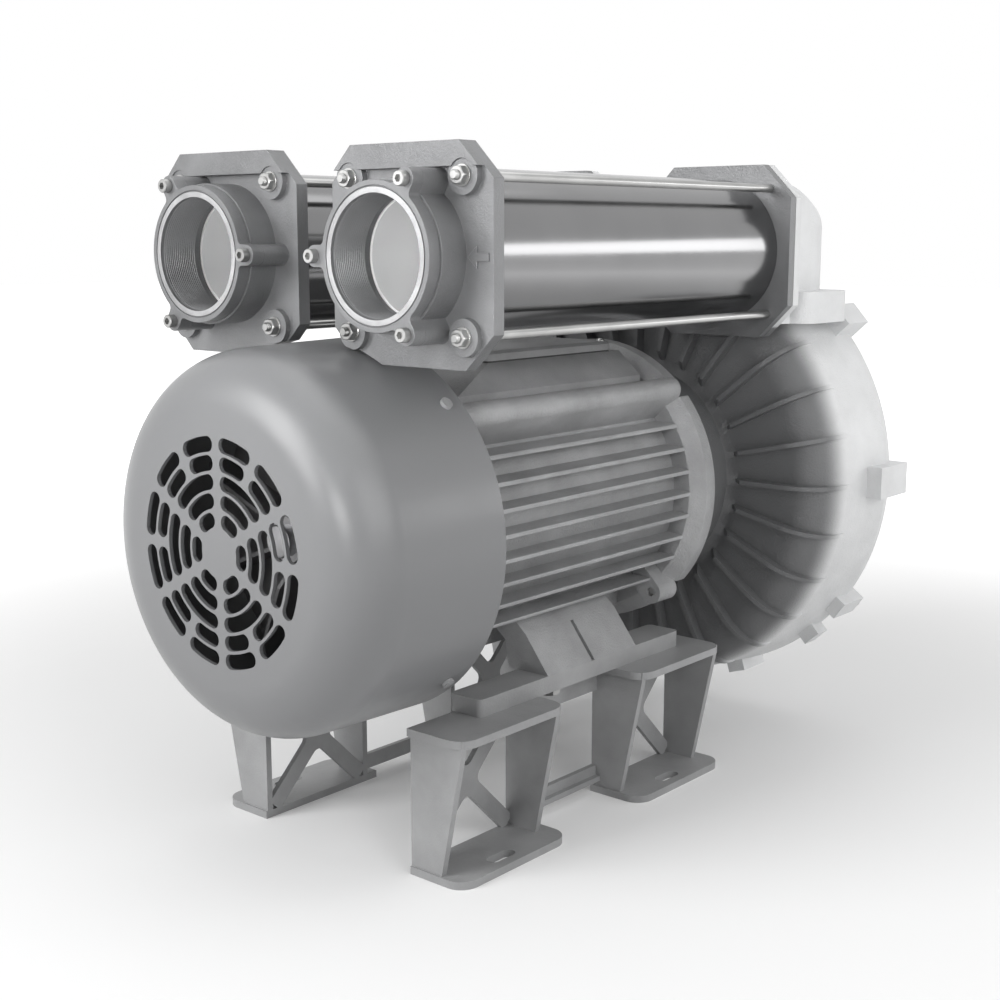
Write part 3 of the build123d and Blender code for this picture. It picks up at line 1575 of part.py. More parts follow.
with BuildPart() as rail_bolts:
    for x, y in rail_bolt_points:
        seat = Plane(
            origin=(x, y, rail_height - top_plate_thickness), x_dir=(1, 0, 0), z_dir=(0, 0, -1)
        )
        hex_bolt(seat, m10_flats, m10_head, m10_radius, top_plate_thickness + rail_bolt_bite - 1)
rail_bolts.part.label = "rail_bolts"
export_step(rail_bolts.part, "parts/rail_bolts.step")
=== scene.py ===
import json
from math import pi, radians, tau

import bmesh
import bpy
import numpy as np
from bpy.props import FloatProperty, FloatVectorProperty, IntProperty, PointerProperty
from bpy.types import Operator, Panel, PropertyGroup
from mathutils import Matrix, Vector

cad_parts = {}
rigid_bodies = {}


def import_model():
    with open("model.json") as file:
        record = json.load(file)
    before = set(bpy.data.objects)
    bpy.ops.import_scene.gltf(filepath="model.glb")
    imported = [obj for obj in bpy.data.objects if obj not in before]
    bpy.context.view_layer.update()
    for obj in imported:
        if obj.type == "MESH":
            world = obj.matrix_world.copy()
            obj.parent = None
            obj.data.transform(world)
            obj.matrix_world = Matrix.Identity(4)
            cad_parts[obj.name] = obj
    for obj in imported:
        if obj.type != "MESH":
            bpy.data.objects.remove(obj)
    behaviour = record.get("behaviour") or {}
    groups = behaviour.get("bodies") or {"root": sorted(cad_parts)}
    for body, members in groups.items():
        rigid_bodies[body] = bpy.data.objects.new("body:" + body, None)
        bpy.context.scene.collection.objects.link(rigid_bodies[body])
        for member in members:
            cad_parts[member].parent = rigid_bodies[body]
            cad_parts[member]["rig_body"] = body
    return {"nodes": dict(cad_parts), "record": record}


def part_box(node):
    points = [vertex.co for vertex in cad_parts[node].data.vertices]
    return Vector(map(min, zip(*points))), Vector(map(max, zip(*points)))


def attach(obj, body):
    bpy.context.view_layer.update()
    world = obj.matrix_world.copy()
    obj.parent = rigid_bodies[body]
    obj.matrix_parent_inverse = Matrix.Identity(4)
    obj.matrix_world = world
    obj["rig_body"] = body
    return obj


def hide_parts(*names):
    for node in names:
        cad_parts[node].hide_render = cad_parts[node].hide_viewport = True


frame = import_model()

bl_info = {
    "name": "Side Channel Blower",
    "version": (1, 0, 0),
    "blender": (4, 5, 0),
    "location": "3D View > Sidebar > Blower",
    "description": "Dresses a side channel blower: castings, cowl, silencers, rails and stage",
    "category": "Object",
}

SLOTS = {part["node"]: part["material_slot"] for part in frame["record"]["subparts"]}
AXIS_HEIGHT = sum(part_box("shaft")[end].z for end in (0, 1)) / 2

MERGE = 2e-6  # points closer than this are one
FLAT_ANGLE = 0.6  # degrees between faces that count as one flat face
SHARP_ANGLE = 35  # degrees from which an edge of a new shape stays sharp
FACTOR, NUMBER_A, NUMBER_B, COLOUR_A, COLOUR_B = 0, 2, 3, 6, 7  # sockets of a mix node
TONE_LOW, TONE_HIGH = 0.3, 0.7  # middle range of a noise mask
DRIFT = 0.15  # share by which the tone mask moves a roughness
WASHER_ROWS = 4  # rows of points in a washer, below the hexagon on it
HEX_STEPS = 36
ROD_STEPS = 24
SCREW_STEPS = 72
KNURLS = 36

# shares of a hexagon's width across flats
WASHER_RIM, WASHER_TOP = 0.64, 0.62
FACE_RIM, CORNER_CUT, TOP_FLAT = 0.475, 0.10, 0.40
BOLT_HOLE = 0.2

# name, place, width, height and beam in degrees
LAMPS = (
    ("side", (-0.5, -2.4, 1.3), 2.2, 1.4, 180.0),
    ("front", (-2.6, 0.9, 1.5), 1.6, 1.6, 180.0),
    ("top", (0.2, -0.2, 2.6), 2.4, 2.4, 180.0),
    ("port", (-1.5, -0.55, 0.70), 0.3, 0.3, 26.0),
    ("casing", (1.7, -1.7, 0.82), 1.3, 0.4, 180.0),
)


class BlowerSizes(PropertyGroup):
    casting_edge: FloatProperty(
        name="Casting edge", description="Rounding of the aluminium castings' edges",
        default=0.0011, unit="LENGTH")
    frame_edge: FloatProperty(
        name="Frame edge", description="Rounding of the motor frame's cast edges",
        default=0.0012, unit="LENGTH")
    rail_edge: FloatProperty(
        name="Rail edge", description="Rounding of the base rails' cast edges",
        default=0.0013, unit="LENGTH")
    cowl_edge: FloatProperty(
        name="Cowl edge", description="Rounding of the edges of the drawn cowl",
        default=0.0012, unit="LENGTH")
    seal_edge: FloatProperty(
        name="Seal edge", description="Rounding of the edges of the terminal box's gasket",
        default=0.0004, unit="LENGTH")
    tube_edge: FloatProperty(
        name="Tube edge", description="Rounding of the ends of the silencer tubes",
        default=0.0003, unit="LENGTH")
    sheet_edge: FloatProperty(
        name="Sheet edge", description="Rounding of the edges of sheet and turned pieces",
        default=0.0006, unit="LENGTH")
    bolt_chamfer: FloatProperty(
        name="Bolt chamfer", description="Height of the chamfer on nuts and bolt heads",
        default=0.0011, unit="LENGTH")
    # The next four settings bound the painted shade on the casing's front, where its colour is
    # darkened between the ribs.
    painted_shade_front: FloatProperty(
        name="Dome front", description="Where the casing's rough front ends",
        default=0.272, unit="LENGTH")
    painted_shade_blend: FloatProperty(
        name="Dome blend", description="Half the width over which its skin changes",
        default=0.016, unit="LENGTH")
    painted_shade_radius: FloatProperty(
        name="Dome radius", description="Outer radius of the casing's rough front",
        default=0.266, unit="LENGTH")
    painted_shade_rim: FloatProperty(
        name="Dome rim", description="Half the width over which the skin ends at that radius",
        default=0.002, unit="LENGTH")
    rod_pitch: FloatProperty(
        name="Rod thread pitch", description="Thread pitch of the tie rods and nuts",
        default=0.00175, unit="LENGTH")
    pipe_pitch: FloatProperty(
        name="Pipe thread pitch", description="Thread pitch in the ports, eleven to the inch",
        default=0.00231, unit="LENGTH")
    thread_depth: FloatProperty(
        name="Thread depth", description="Depth of the pipe thread in the ports",
        default=0.0013, unit="LENGTH")
    washer: FloatProperty(
        name="Washer", description="Thickness of the washers under nuts and bolt heads",
        default=0.0014, unit="LENGTH")
    rod_thread: FloatProperty(
        name="Rod thread", description="Length of the thread on a tie rod's front end",
        default=0.022, unit="LENGTH")
    screw_head: FloatProperty(
        name="Screw head", description="Height of the port screws' heads",
        default=0.008, unit="LENGTH")
    screw_recess: FloatProperty(
        name="Screw recess", description="Depth of the recess in the port screws",
        default=0.0038, unit="LENGTH")
    port_bore: FloatProperty(
        name="Port bore", description="Inner radius of the ports",
        default=0.0546, unit="LENGTH")
    ring_width: FloatProperty(
        name="Ring width", description="Width of the ports' bright turned face",
        default=0.006, unit="LENGTH")
    thread_start: FloatProperty(
        name="Thread start", description="How far in from the port's face its thread starts",
        default=0.003, unit="LENGTH")
    thread_end: FloatProperty(
        name="Thread end", description="How far in from the port's face its thread ends",
        default=0.044, unit="LENGTH")
    plate_front: FloatProperty(
        name="Plate front", description="From the tube's front end to the plate's face",
        default=0.011, unit="LENGTH")
    arrow: FloatProperty(
        name="Arrow", description="Length of the flow arrow", default=0.024, unit="LENGTH")
    arrow_side: FloatProperty(
        name="Arrow side", description="From the port's axis to the flow arrow",
        default=0.082, unit="LENGTH")
    arrow_rise: FloatProperty(
        name="Arrow rise", description="How far the flow arrow stands off its plate",
        default=0.0018, unit="LENGTH")
    round_steps: IntProperty(
        name="Round steps", description="Steps around a large round piece", default=160)


class BlowerColours(PropertyGroup):
    motor_grey: FloatVectorProperty(
        name="Motor grey", description="Paint of the motor", subtype="COLOR",
        size=4, default=(0.19, 0.192, 0.197, 1), min=0, max=1)
    # Painted light: a lighter copy of the motor's paint, standing in for the extra light on the
    # frame and shields.
    lit_frame_grey: FloatVectorProperty(
        name="Frame grey", description="Paint on the motor's rough castings", subtype="COLOR",
        size=4, default=(0.33, 0.332, 0.337, 1), min=0, max=1)
    base_grey: FloatVectorProperty(
        name="Base grey", description="Paint of the base rails", subtype="COLOR",
        size=4, default=(0.31, 0.312, 0.316, 1), min=0, max=1)
    cast_silver: FloatVectorProperty(
        name="Cast silver", description="Blasted aluminium castings", subtype="COLOR",
        size=4, default=(0.69, 0.695, 0.70, 1), min=0, max=1)
    # Painted shade: a dark silver put on the casing's front between its ribs, standing in for
    # the shade there.
    dome_shade_silver: FloatVectorProperty(
        name="Rough silver", description="Rough skin of the casing between its ribs",
        subtype="COLOR", size=4, default=(0.15, 0.152, 0.155, 1), min=0, max=1)
    # Painted shade: a far darker silver than the casing's, for plates and drums whose faces
    # turn away from the light.
    shaded_plate_silver: FloatVectorProperty(
        name="Plate silver", description="Satin castings of the plates and port flanges",
        subtype="COLOR", size=4, default=(0.18, 0.182, 0.186, 1), min=0, max=1)
    tube_silver: FloatVectorProperty(
        name="Tube silver", description="Drawn aluminium of the silencer tubes",
        subtype="COLOR", size=4, default=(0.23, 0.23, 0.233, 1), min=0, max=1)
    zinc_silver: FloatVectorProperty(
        name="Zinc silver", description="Plating of the bolts, nuts and rods",
        subtype="COLOR", size=4, default=(0.40, 0.40, 0.395, 1), min=0, max=1)
    steel_grey: FloatVectorProperty(
        name="Steel grey", description="Turned steel of the shaft and bearings",
        subtype="COLOR", size=4, default=(0.50, 0.50, 0.51, 1), min=0, max=1)


class BlowerView(PropertyGroup):
    place: FloatVectorProperty(
        name="Camera place", description="Where the camera stands", subtype="XYZ",
        size=3, default=(-1.25417, -1.05350, 0.61300))
    aim: FloatVectorProperty(
        name="Camera aim", description="The direction in which the camera looks",
        subtype="XYZ", size=3, default=(0.747837, 0.639937, -0.176693))
    lens: FloatProperty(
        name="Lens", description="Focal length in millimetres", default=53.38)
    floor_size: FloatProperty(
        name="Floor size", description="Width of the floor", default=30.0, unit="LENGTH")
    near_reach: FloatProperty(
        name="Near reach", description="How far the floor's near glow goes",
        default=0.6, unit="LENGTH")
    far_reach: FloatProperty(
        name="Far reach", description="From where on the floor has its far glow",
        default=2.4, unit="LENGTH")
    port_aim: FloatVectorProperty(
        name="Port aim", description="Where the lamp in front of the ports looks",
        subtype="XYZ", size=3, default=(-0.33, -0.08, 0.58))
    floor_glow: FloatProperty(
        name="Floor glow", description="Light that the floor adds for the camera, far off",
        default=0.95)
    near_glow: FloatProperty(
        name="Near glow", description="Light that the floor adds near the blower",
        default=0.10)
    sky_level: FloatProperty(
        name="Sky level", description="Strength of the even light from all round",
        default=0.30)
    side_power: FloatProperty(
        name="Side lamp", description="Power of the large lamp on the right, in watts",
        default=24.0)
    front_power: FloatProperty(
        name="Front lamp", description="Power of the lamp on the left, in watts",
        default=64.0)
    top_power: FloatProperty(
        name="Top lamp", description="Power of the lamp overhead, in watts", default=20.0)
    port_power: FloatProperty(
        name="Port lamp", description="Power of the lamp in front of the ports, in watts",
        default=0.30)
    casing_power: FloatProperty(
        name="Casing lamp", description="Power of the lamp beside the casing, in watts",
        default=5.5)


def sizes():
    """The sizes that the panel shows."""
    return bpy.context.scene.blower_sizes


def colours():
    """The colours that the panel shows."""
    return bpy.context.scene.blower_colours


def view():
    """The camera and light settings that the panel shows."""
    return bpy.context.scene.blower_view


def new_group(name, inputs, outputs):
    """An empty shader node group with named float or vector sockets."""
    group = bpy.data.node_groups.new(name, "ShaderNodeTree")
    for label, kind, value in inputs:
        socket = group.interface.new_socket(label, in_out="INPUT", socket_type=kind)
        if value is not None:
            socket.default_value = value
    for label in outputs:
        group.interface.new_socket(label, in_out="OUTPUT", socket_type="NodeSocketFloat")
    return group, group.nodes.new("NodeGroupInput"), group.nodes.new("NodeGroupOutput")


def noise_node(group, source, scale, detail, roughness):
    """A noise texture in a group, read along the given vector socket."""
    noise = group.nodes.new("ShaderNodeTexNoise")
    noise.inputs["Scale"].default_value = scale
    noise.inputs["Detail"].default_value = detail
    noise.inputs["Roughness"].default_value = roughness
    group.links.new(source, noise.inputs["Vector"])
    return noise.outputs["Fac"]


def cast_grain():
    """Sand-cast skin: fine grain with a slow swell, as a height and a tone mask."""
    if "cast_grain" in bpy.data.node_groups:
        return bpy.data.node_groups["cast_grain"]
    group, into, out = new_group(
        "cast_grain",
        [("Vector", "NodeSocketVector", None), ("Grain", "NodeSocketFloat", 0.7)],
        ["Height", "Tone"])
    place = into.outputs["Vector"]
    fine = noise_node(group, place, 420.0, 4.0, 0.65)
    slow = noise_node(group, place, 70.0, 2.0, 0.5)
    blotch = noise_node(group, place, 16.0, 3.0, 0.6)
    mixed = group.nodes.new("ShaderNodeMix")
    group.links.new(into.outputs["Grain"], mixed.inputs[FACTOR])
    group.links.new(slow, mixed.inputs[NUMBER_A])
    group.links.new(fine, mixed.inputs[NUMBER_B])
    group.links.new(mixed.outputs[0], out.inputs["Height"])
    group.links.new(blotch, out.inputs["Tone"])
    return group


def drawn_lines():
    """Fine lines along X, as drawn tube and milled faces have, as a height and a tone."""
    if "drawn_lines" in bpy.data.node_groups:
        return bpy.data.node_groups["drawn_lines"]
    group, into, out = new_group(
        "drawn_lines", [("Vector", "NodeSocketVector", None)], ["Height", "Tone"])
    stretch = group.nodes.new("ShaderNodeMapping")
    stretch.inputs["Scale"].default_value = (0.02, 1.0, 1.0)
    group.links.new(into.outputs["Vector"], stretch.inputs["Vector"])
    lines = noise_node(group, stretch.outputs["Vector"], 1400.0, 3.0, 0.6)
    smear = noise_node(group, into.outputs["Vector"], 9.0, 2.0, 0.5)
    group.links.new(lines, out.inputs["Height"])
    group.links.new(smear, out.inputs["Tone"])
    return group


def ramp(tree, source, low, high):
    """Maps a mask from its middle range to the span between two values."""
    span = tree.nodes.new("ShaderNodeMapRange")
    span.inputs["From Min"].default_value = TONE_LOW
    span.inputs["From Max"].default_value = TONE_HIGH
    span.inputs["To Min"].default_value = low
    span.inputs["To Max"].default_value = high
    tree.links.new(source, span.inputs["Value"])
    return span.outputs["Result"]


def finish_material(
        name, colour, roughness, metallic, group, bump, depth, shade=0.12, grain=None):
    """One finish: a colour that drifts with the tone mask, and a skin from the height."""
    if name in bpy.data.materials:
        return bpy.data.materials[name]
    material = bpy.data.materials.new(name)
    material.use_nodes = True
    tree = material.node_tree
    shader = tree.nodes["Principled BSDF"]
    shader.inputs["Metallic"].default_value = metallic
    place = tree.nodes.new("ShaderNodeTexCoord")
    skin = tree.nodes.new("ShaderNodeGroup")
    skin.node_tree = group
    tree.links.new(place.outputs["Object"], skin.inputs["Vector"])
    if grain is not None:
        skin.inputs["Grain"].default_value = grain
    tone = tree.nodes.new("ShaderNodeMix")
    tone.data_type = "RGBA"
    tone.inputs[COLOUR_A].default_value = [c * (1 - shade) for c in colour[:3]] + [1]
    tone.inputs[COLOUR_B].default_value = [min(1, c * (1 + shade)) for c in colour[:3]] + [1]
    tree.links.new(ramp(tree, skin.outputs["Tone"], 0.0, 1.0), tone.inputs[FACTOR])
    tree.links.new(tone.outputs[2], shader.inputs["Base Color"])
    tree.links.new(
        ramp(tree, skin.outputs["Tone"], roughness * (1 - DRIFT), roughness * (1 + DRIFT)),
        shader.inputs["Roughness"])
    relief = tree.nodes.new("ShaderNodeBump")
    relief.inputs["Strength"].default_value = bump
    relief.inputs["Distance"].default_value = depth
    tree.links.new(skin.outputs["Height"], relief.inputs["Height"])
    tree.links.new(relief.outputs["Normal"], shader.inputs["Normal"])
    return material


def cowl_paint():
    """Semi-gloss paint with a fine orange peel, on the drawn cowl."""
    return finish_material(
        "cowl_paint", colours().motor_grey, roughness=0.33, metallic=0.0,
        group=cast_grain(), bump=0.2, depth=0.0003, shade=0.0, grain=0.35)


def casting_paint():
    """The same paint over sand-cast iron, made lighter than the cowl's as painted light: frame,
    feet, shields and terminal box.
    """
    return finish_material(
        "casting_paint", colours().lit_frame_grey, roughness=0.36, metallic=0.0,
        group=cast_grain(), bump=0.8, depth=0.0022, shade=0.18, grain=0.6)


def rail_paint():
    """Satin paint on the base rails and bars."""
    return finish_material(
        "rail_paint", colours().base_grey, roughness=0.40, metallic=0.0,
        group=cast_grain(), bump=0.6, depth=0.0014, shade=0.12, grain=0.5)


def cast_aluminium():
    """Blasted aluminium casting."""
    return finish_material(
        "blasted_aluminium", colours().cast_silver, roughness=0.45, metallic=0.15,
        group=cast_grain(), bump=0.35, depth=0.0007, shade=0.07, grain=0.6)


def dome_skin():
    """One on the casing's front between its ribs, where shade is painted, and zero on its
    blasted wall, from the place along the shaft and the distance from it."""
    if "dome_skin" in bpy.data.node_groups:
        return bpy.data.node_groups["dome_skin"]
    group, into, out = new_group(
        "dome_skin", [("Vector", "NodeSocketVector", None)], ["Mask"])
    split = group.nodes.new("ShaderNodeSeparateXYZ")
    group.links.new(into.outputs["Vector"], split.inputs[0])
    centred = group.nodes.new("ShaderNodeVectorMath")
    centred.operation = "SUBTRACT"
    centred.inputs[1].default_value = (0, 0, AXIS_HEIGHT)
    group.links.new(into.outputs["Vector"], centred.inputs[0])
    flat = group.nodes.new("ShaderNodeVectorMath")
    flat.operation = "MULTIPLY"
    flat.inputs[1].default_value = (0, 1, 1)
    group.links.new(centred.outputs[0], flat.inputs[0])
    reach = group.nodes.new("ShaderNodeVectorMath")
    reach.operation = "LENGTH"
    group.links.new(flat.outputs[0], reach.inputs[0])
    front = edge_mask(group, split.outputs["X"], sizes().painted_shade_front, sizes().painted_shade_blend)
    inside = edge_mask(group, reach.outputs["Value"], sizes().painted_shade_radius, sizes().painted_shade_rim)
    both = group.nodes.new("ShaderNodeMath")
    both.operation = "MULTIPLY"
    group.links.new(front, both.inputs[0])
    group.links.new(inside, both.inputs[1])
    group.links.new(both.outputs[0], out.inputs["Mask"])
    return group


def edge_mask(group, source, limit, width):
    """One below a limit and zero above it, smooth over the given width."""
    span = group.nodes.new("ShaderNodeMapRange")
    span.interpolation_type = "SMOOTHSTEP"
    span.inputs["From Min"].default_value = limit - width
    span.inputs["From Max"].default_value = limit + width
    span.inputs["To Min"].default_value = 1.0
    span.inputs["To Max"].default_value = 0.0
    group.links.new(source, span.inputs["Value"])
    return span.outputs["Result"]


def casing_aluminium():
    """Blasted aluminium, with painted shade: a far darker colour on the front between the ribs.
    """
    if "casing_aluminium" in bpy.data.materials:
        return bpy.data.materials["casing_aluminium"]
    material = finish_material(
        "casing_aluminium", colours().cast_silver, roughness=0.45, metallic=0.15,
        group=cast_grain(), bump=0.7, depth=0.0018, shade=0.08, grain=0.6)
    tree = material.node_tree
    shader = tree.nodes["Principled BSDF"]
    bright = shader.inputs["Base Color"].links[0].from_socket
    place = tree.nodes.new("ShaderNodeTexCoord")
    # This node holds the mask of painted shade on the casing's front.
    skin = tree.nodes.new("ShaderNodeGroup")
    skin.node_tree = dome_skin()
    tree.links.new(place.outputs["Object"], skin.inputs["Vector"])
    both = tree.nodes.new("ShaderNodeMix")
    both.data_type = "RGBA"
    both.inputs[COLOUR_B].default_value = colours().dome_shade_silver
    tree.links.new(skin.outputs["Mask"], both.inputs[FACTOR])
    tree.links.new(bright, both.inputs[COLOUR_A])
    tree.links.new(both.outputs[2], shader.inputs["Base Color"])
    return material


def machined_ring():
    """Bright turned face of the ports."""
    return finish_material(
        "machined_ring", (0.36, 0.36, 0.365, 1), roughness=0.42, metallic=0.6,
        group=cast_grain(), bump=0.8, depth=0.0010, shade=0.35, grain=0.8)


def plate_casting():
    """Satin die casting of the silencers' plates and drums, far darker than the casing as
    painted shade.
    """
    return finish_material(
        "plate_casting", colours().shaded_plate_silver, roughness=0.36, metallic=0.3,
        group=cast_grain(), bump=0.6, depth=0.0014, shade=0.14, grain=0.5)


def pale_lining():
    """Pale bore of the silencers' inner pipes."""
    return finish_material(
        "pale_lining", (0.90, 0.90, 0.90, 1), roughness=0.50, metallic=0.0,
        group=drawn_lines(), bump=0.10, depth=0.0002, shade=0.05)


def tube_aluminium():
    """Drawn and brushed aluminium tube."""
    return finish_material(
        "drawn_tube", colours().tube_silver, roughness=0.17, metallic=1.0,
        group=drawn_lines(), bump=0.05, depth=0.0002, shade=0.05)


def zinc_steel():
    """Bright plated fasteners."""
    return finish_material(
        "plated_steel", colours().zinc_silver, roughness=0.33, metallic=1.0,
        group=cast_grain(), bump=0.10, depth=0.0003, shade=0.12)


def machined_steel():
    """Turned steel of the shaft and bearings."""
    return finish_material(
        "turned_steel", colours().steel_grey, roughness=0.30, metallic=1.0,
        group=drawn_lines(), bump=0.10, depth=0.0002, shade=0.08)


def core_steel():
    """The stator's stacked sheets."""
    return finish_material(
        "stacked_steel", (0.20, 0.20, 0.21, 1), roughness=0.5, metallic=0.9,
        group=drawn_lines(), bump=0.4, depth=0.0004, shade=0.2)


def copper_wire():
    """Varnished windings."""
    return finish_material(
        "copper_wire", (0.45, 0.20, 0.09, 1), roughness=0.38, metallic=0.7,
        group=drawn_lines(), bump=0.6, depth=0.0006, shade=0.2)


def black_rubber():
    """Seals."""
    return finish_material(
        "black_rubber", (0.025, 0.025, 0.025, 1), roughness=0.7, metallic=0.0,
        group=cast_grain(), bump=0.3, depth=0.0003, shade=0.1)


def gasket_board():
    """Pressed gasket sheet."""
    return finish_material(
        "gasket_board", (0.06, 0.06, 0.058, 1), roughness=0.8, metallic=0.0,
        group=cast_grain(), bump=0.5, depth=0.0004, shade=0.2)


def fan_plastic():
    """Moulded grey fan."""
    return finish_material(
        "fan_moulding", (0.15, 0.15, 0.153, 1), roughness=0.5, metallic=0.0,
        group=cast_grain(), bump=0.2, depth=0.0003, shade=0.1)


def block_plastic():
    """Moulded terminal block."""
    return finish_material(
        "block_moulding", (0.03, 0.03, 0.03, 1), roughness=0.5, metallic=0.0,
        group=cast_grain(), bump=0.2, depth=0.0003, shade=0.1)


def liner_foam():
    """Pressed absorbent sheet in the silencers."""
    return finish_material(
        "liner_foam", (0.42, 0.40, 0.36, 1), roughness=0.95, metallic=0.0,
        group=cast_grain(), bump=1.0, depth=0.0020, shade=0.2, grain=0.8)


FINISHES = {
    "motor_paint": casting_paint,
    "base_paint": rail_paint,
    "cast_aluminium": cast_aluminium,
    "tube_aluminium": tube_aluminium,
    "machined_steel": machined_steel,
    "zinc_steel": zinc_steel,
    "core_steel": core_steel,
    "copper": copper_wire,
    "rubber": black_rubber,
    "gasket_sheet": gasket_board,
    "fan_plastic": fan_plastic,
    "block_plastic": block_plastic,
    "foam": liner_foam,
}


BOLTED = {
    "shield_bolts": 0,
    "casing_bolts": 0,
    "casing_mount_bolts": 0,
    "impeller_bolt": 0,
    "motor_foot_bolts": 2,
    "rail_bolts": 2,
}


def linked(name, data):
    """A new object in the scene, at its origin."""
    item = bpy.data.objects.new(name, data)
    bpy.context.scene.collection.objects.link(item)
    return item


def added_piece(name, mesh, finish, node):
    """A mesh as one piece that rides with a node and has its slot."""
    piece = linked(name, mesh)
    mesh.materials.clear()
    mesh.materials.append(finish)
    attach(piece, frame["nodes"][node]["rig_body"])
    return piece


def new_piece(name, mesh, finish, node):
    """A mesh as one piece that rides with its node and stands for it."""
    piece = added_piece(name, mesh, finish, node)
    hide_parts(node)
    return piece


def face_outward(mesh):
    """Turns every face of a closed mesh outward."""
    form = bmesh.new()
    form.from_mesh(mesh)
    bmesh.ops.recalc_face_normals(form, faces=form.faces)
    form.to_mesh(mesh)
    form.free()


def dressed(name, node, finish, edge, segments=2, angle=32.0):
    """A copy of a node's own surface with rounded edges: each edge that turns by more
    than the angle becomes a round of the given width, with smooth normals across it."""
    mesh = frame["nodes"][node].data.copy()
    mesh.name = name
    form = bmesh.new()
    form.from_mesh(mesh)
    bmesh.ops.remove_doubles(form, verts=form.verts, dist=MERGE)
    bmesh.ops.dissolve_limit(
        form, angle_limit=radians(FLAT_ANGLE), verts=form.verts, edges=form.edges)
    for face in form.faces:
        face.smooth = True
    form.to_mesh(mesh)
    form.free()
    mesh.update()
    piece = new_piece(name, mesh, finish, node)
    rounding = piece.modifiers.new("rounding", "BEVEL")
    rounding.limit_method = "ANGLE"
    rounding.angle_limit = radians(angle)
    rounding.width = edge
    rounding.segments = segments
    rounding.use_clamp_overlap = True
    normals = piece.modifiers.new("normals", "WEIGHTED_NORMAL")
    normals.keep_sharp = True
    return piece


def solid_points(node):
    """The points of each separate solid in a node, as one array each."""
    form = bmesh.new()
    form.from_mesh(frame["nodes"][node].data)
    bmesh.ops.remove_doubles(form, verts=form.verts, dist=MERGE)
    form.verts.ensure_lookup_table()
    seen = set()
    solids = []
    for start in form.verts:
        if start.index in seen:
            continue
        seen.add(start.index)
        stack = [start]
        points = []
        while stack:
            vert = stack.pop()
            points.append(vert.co[:])
            for edge in vert.link_edges:
                other = edge.other_vert(vert)
                if other.index not in seen:
                    seen.add(other.index)
                    stack.append(other)
        solids.append(np.array(points))
    form.free()
    return solids


def grid_mesh(name, grids, wrap_rows=False):
    """One mesh from grids of points, each rows by columns: the columns close into a ring.
    Each cell is a quad, and a grid's rows close into a ring too where wrap_rows is set.
    Otherwise its first and last row are closed with a cap."""
    points = []
    faces = []
    base = 0
    for grid in grids:
        rows, columns = grid.shape[:2]
        points.append(grid.reshape(-1, 3))
        index = base + np.arange(rows * columns).reshape(rows, columns)
        lower = index if wrap_rows else index[:-1]
        upper = np.roll(index, -1, 0) if wrap_rows else index[1:]
        quads = np.stack(
            [lower, np.roll(lower, -1, 1), np.roll(upper, -1, 1), upper], -1)
        faces += quads.reshape(-1, 4).tolist()
        if not wrap_rows:
            faces.append(index[0][::-1].tolist())
            faces.append(index[-1].tolist())
        base += rows * columns
    mesh = bpy.data.meshes.new(name)
    mesh.from_pydata(np.concatenate(points).tolist(), [], faces)
    face_outward(mesh)
    mesh.shade_smooth()
    mesh.set_sharp_from_angle(angle=radians(SHARP_ANGLE))
    return mesh


def along(origin, axis, lift, radius, turn):
    """Points at the given lift along an axis and radius and turn about it. The turn
    starts at the next axis in the order X, Y, Z."""
    points = np.empty(np.broadcast(lift, radius, turn).shape + (3,))
    points[..., axis] = origin[axis] + lift
    points[..., (axis + 1) % 3] = origin[(axis + 1) % 3] + radius * np.cos(turn)
    points[..., (axis + 2) % 3] = origin[(axis + 2) % 3] + radius * np.sin(turn)
    return points


def turns(steps):
    """Angles of a full turn in even steps, as one row."""
    return np.linspace(0, tau, steps, endpoint=False)[None, :]


def hexagon(turn, across, start):
    """Radius of a hexagon at each turn: half its width over the cosine of the angle
    from the middle of the nearest flat."""
    return across / 2 / np.cos((turn - start) % (pi / 3) - pi / 6)


def rings(points, axis):
    """A solid's middle, the places along an axis where it has points, and the largest
    radius about its middle at the first and the last of them."""
    middle = (points.min(0) + points.max(0)) / 2
    across = np.delete(points - middle, axis, 1)
    radius = np.hypot(across[:, 0], across[:, 1])
    places = np.unique(np.round(points[:, axis], 5))
    ends = [radius[abs(points[:, axis] - place) < 1e-4].max() for place in places[[0, -1]]]
    return middle, places, ends


def hexagon_of(points, axis):
    """Width across flats of a hexagon and the turn at which its first corner lies."""
    spans = [np.ptp(points[:, (axis + step) % 3]) for step in (1, 2)]
    return min(spans), -pi / 6 if spans[0] < spans[1] else 0.0


def head_rows(across, height, hole):
    """Lift and largest radius of each row of a washer and a hexagon on it. The hexagon's
    corners are cut near the top by a cone, in four steps."""
    washer = sizes().washer
    cone = sizes().bolt_chamfer * np.linspace(1, 0, 4)
    lift = [0, 0, washer * 0.85, washer, washer, *(height - cone), height, height]
    limit = [hole, WASHER_RIM * across, WASHER_RIM * across, WASHER_TOP * across, across,
             *(across * (FACE_RIM + CORNER_CUT * cone / cone[0])), TOP_FLAT * across, hole]
    return np.array(lift)[:, None], np.array(limit)[:, None]


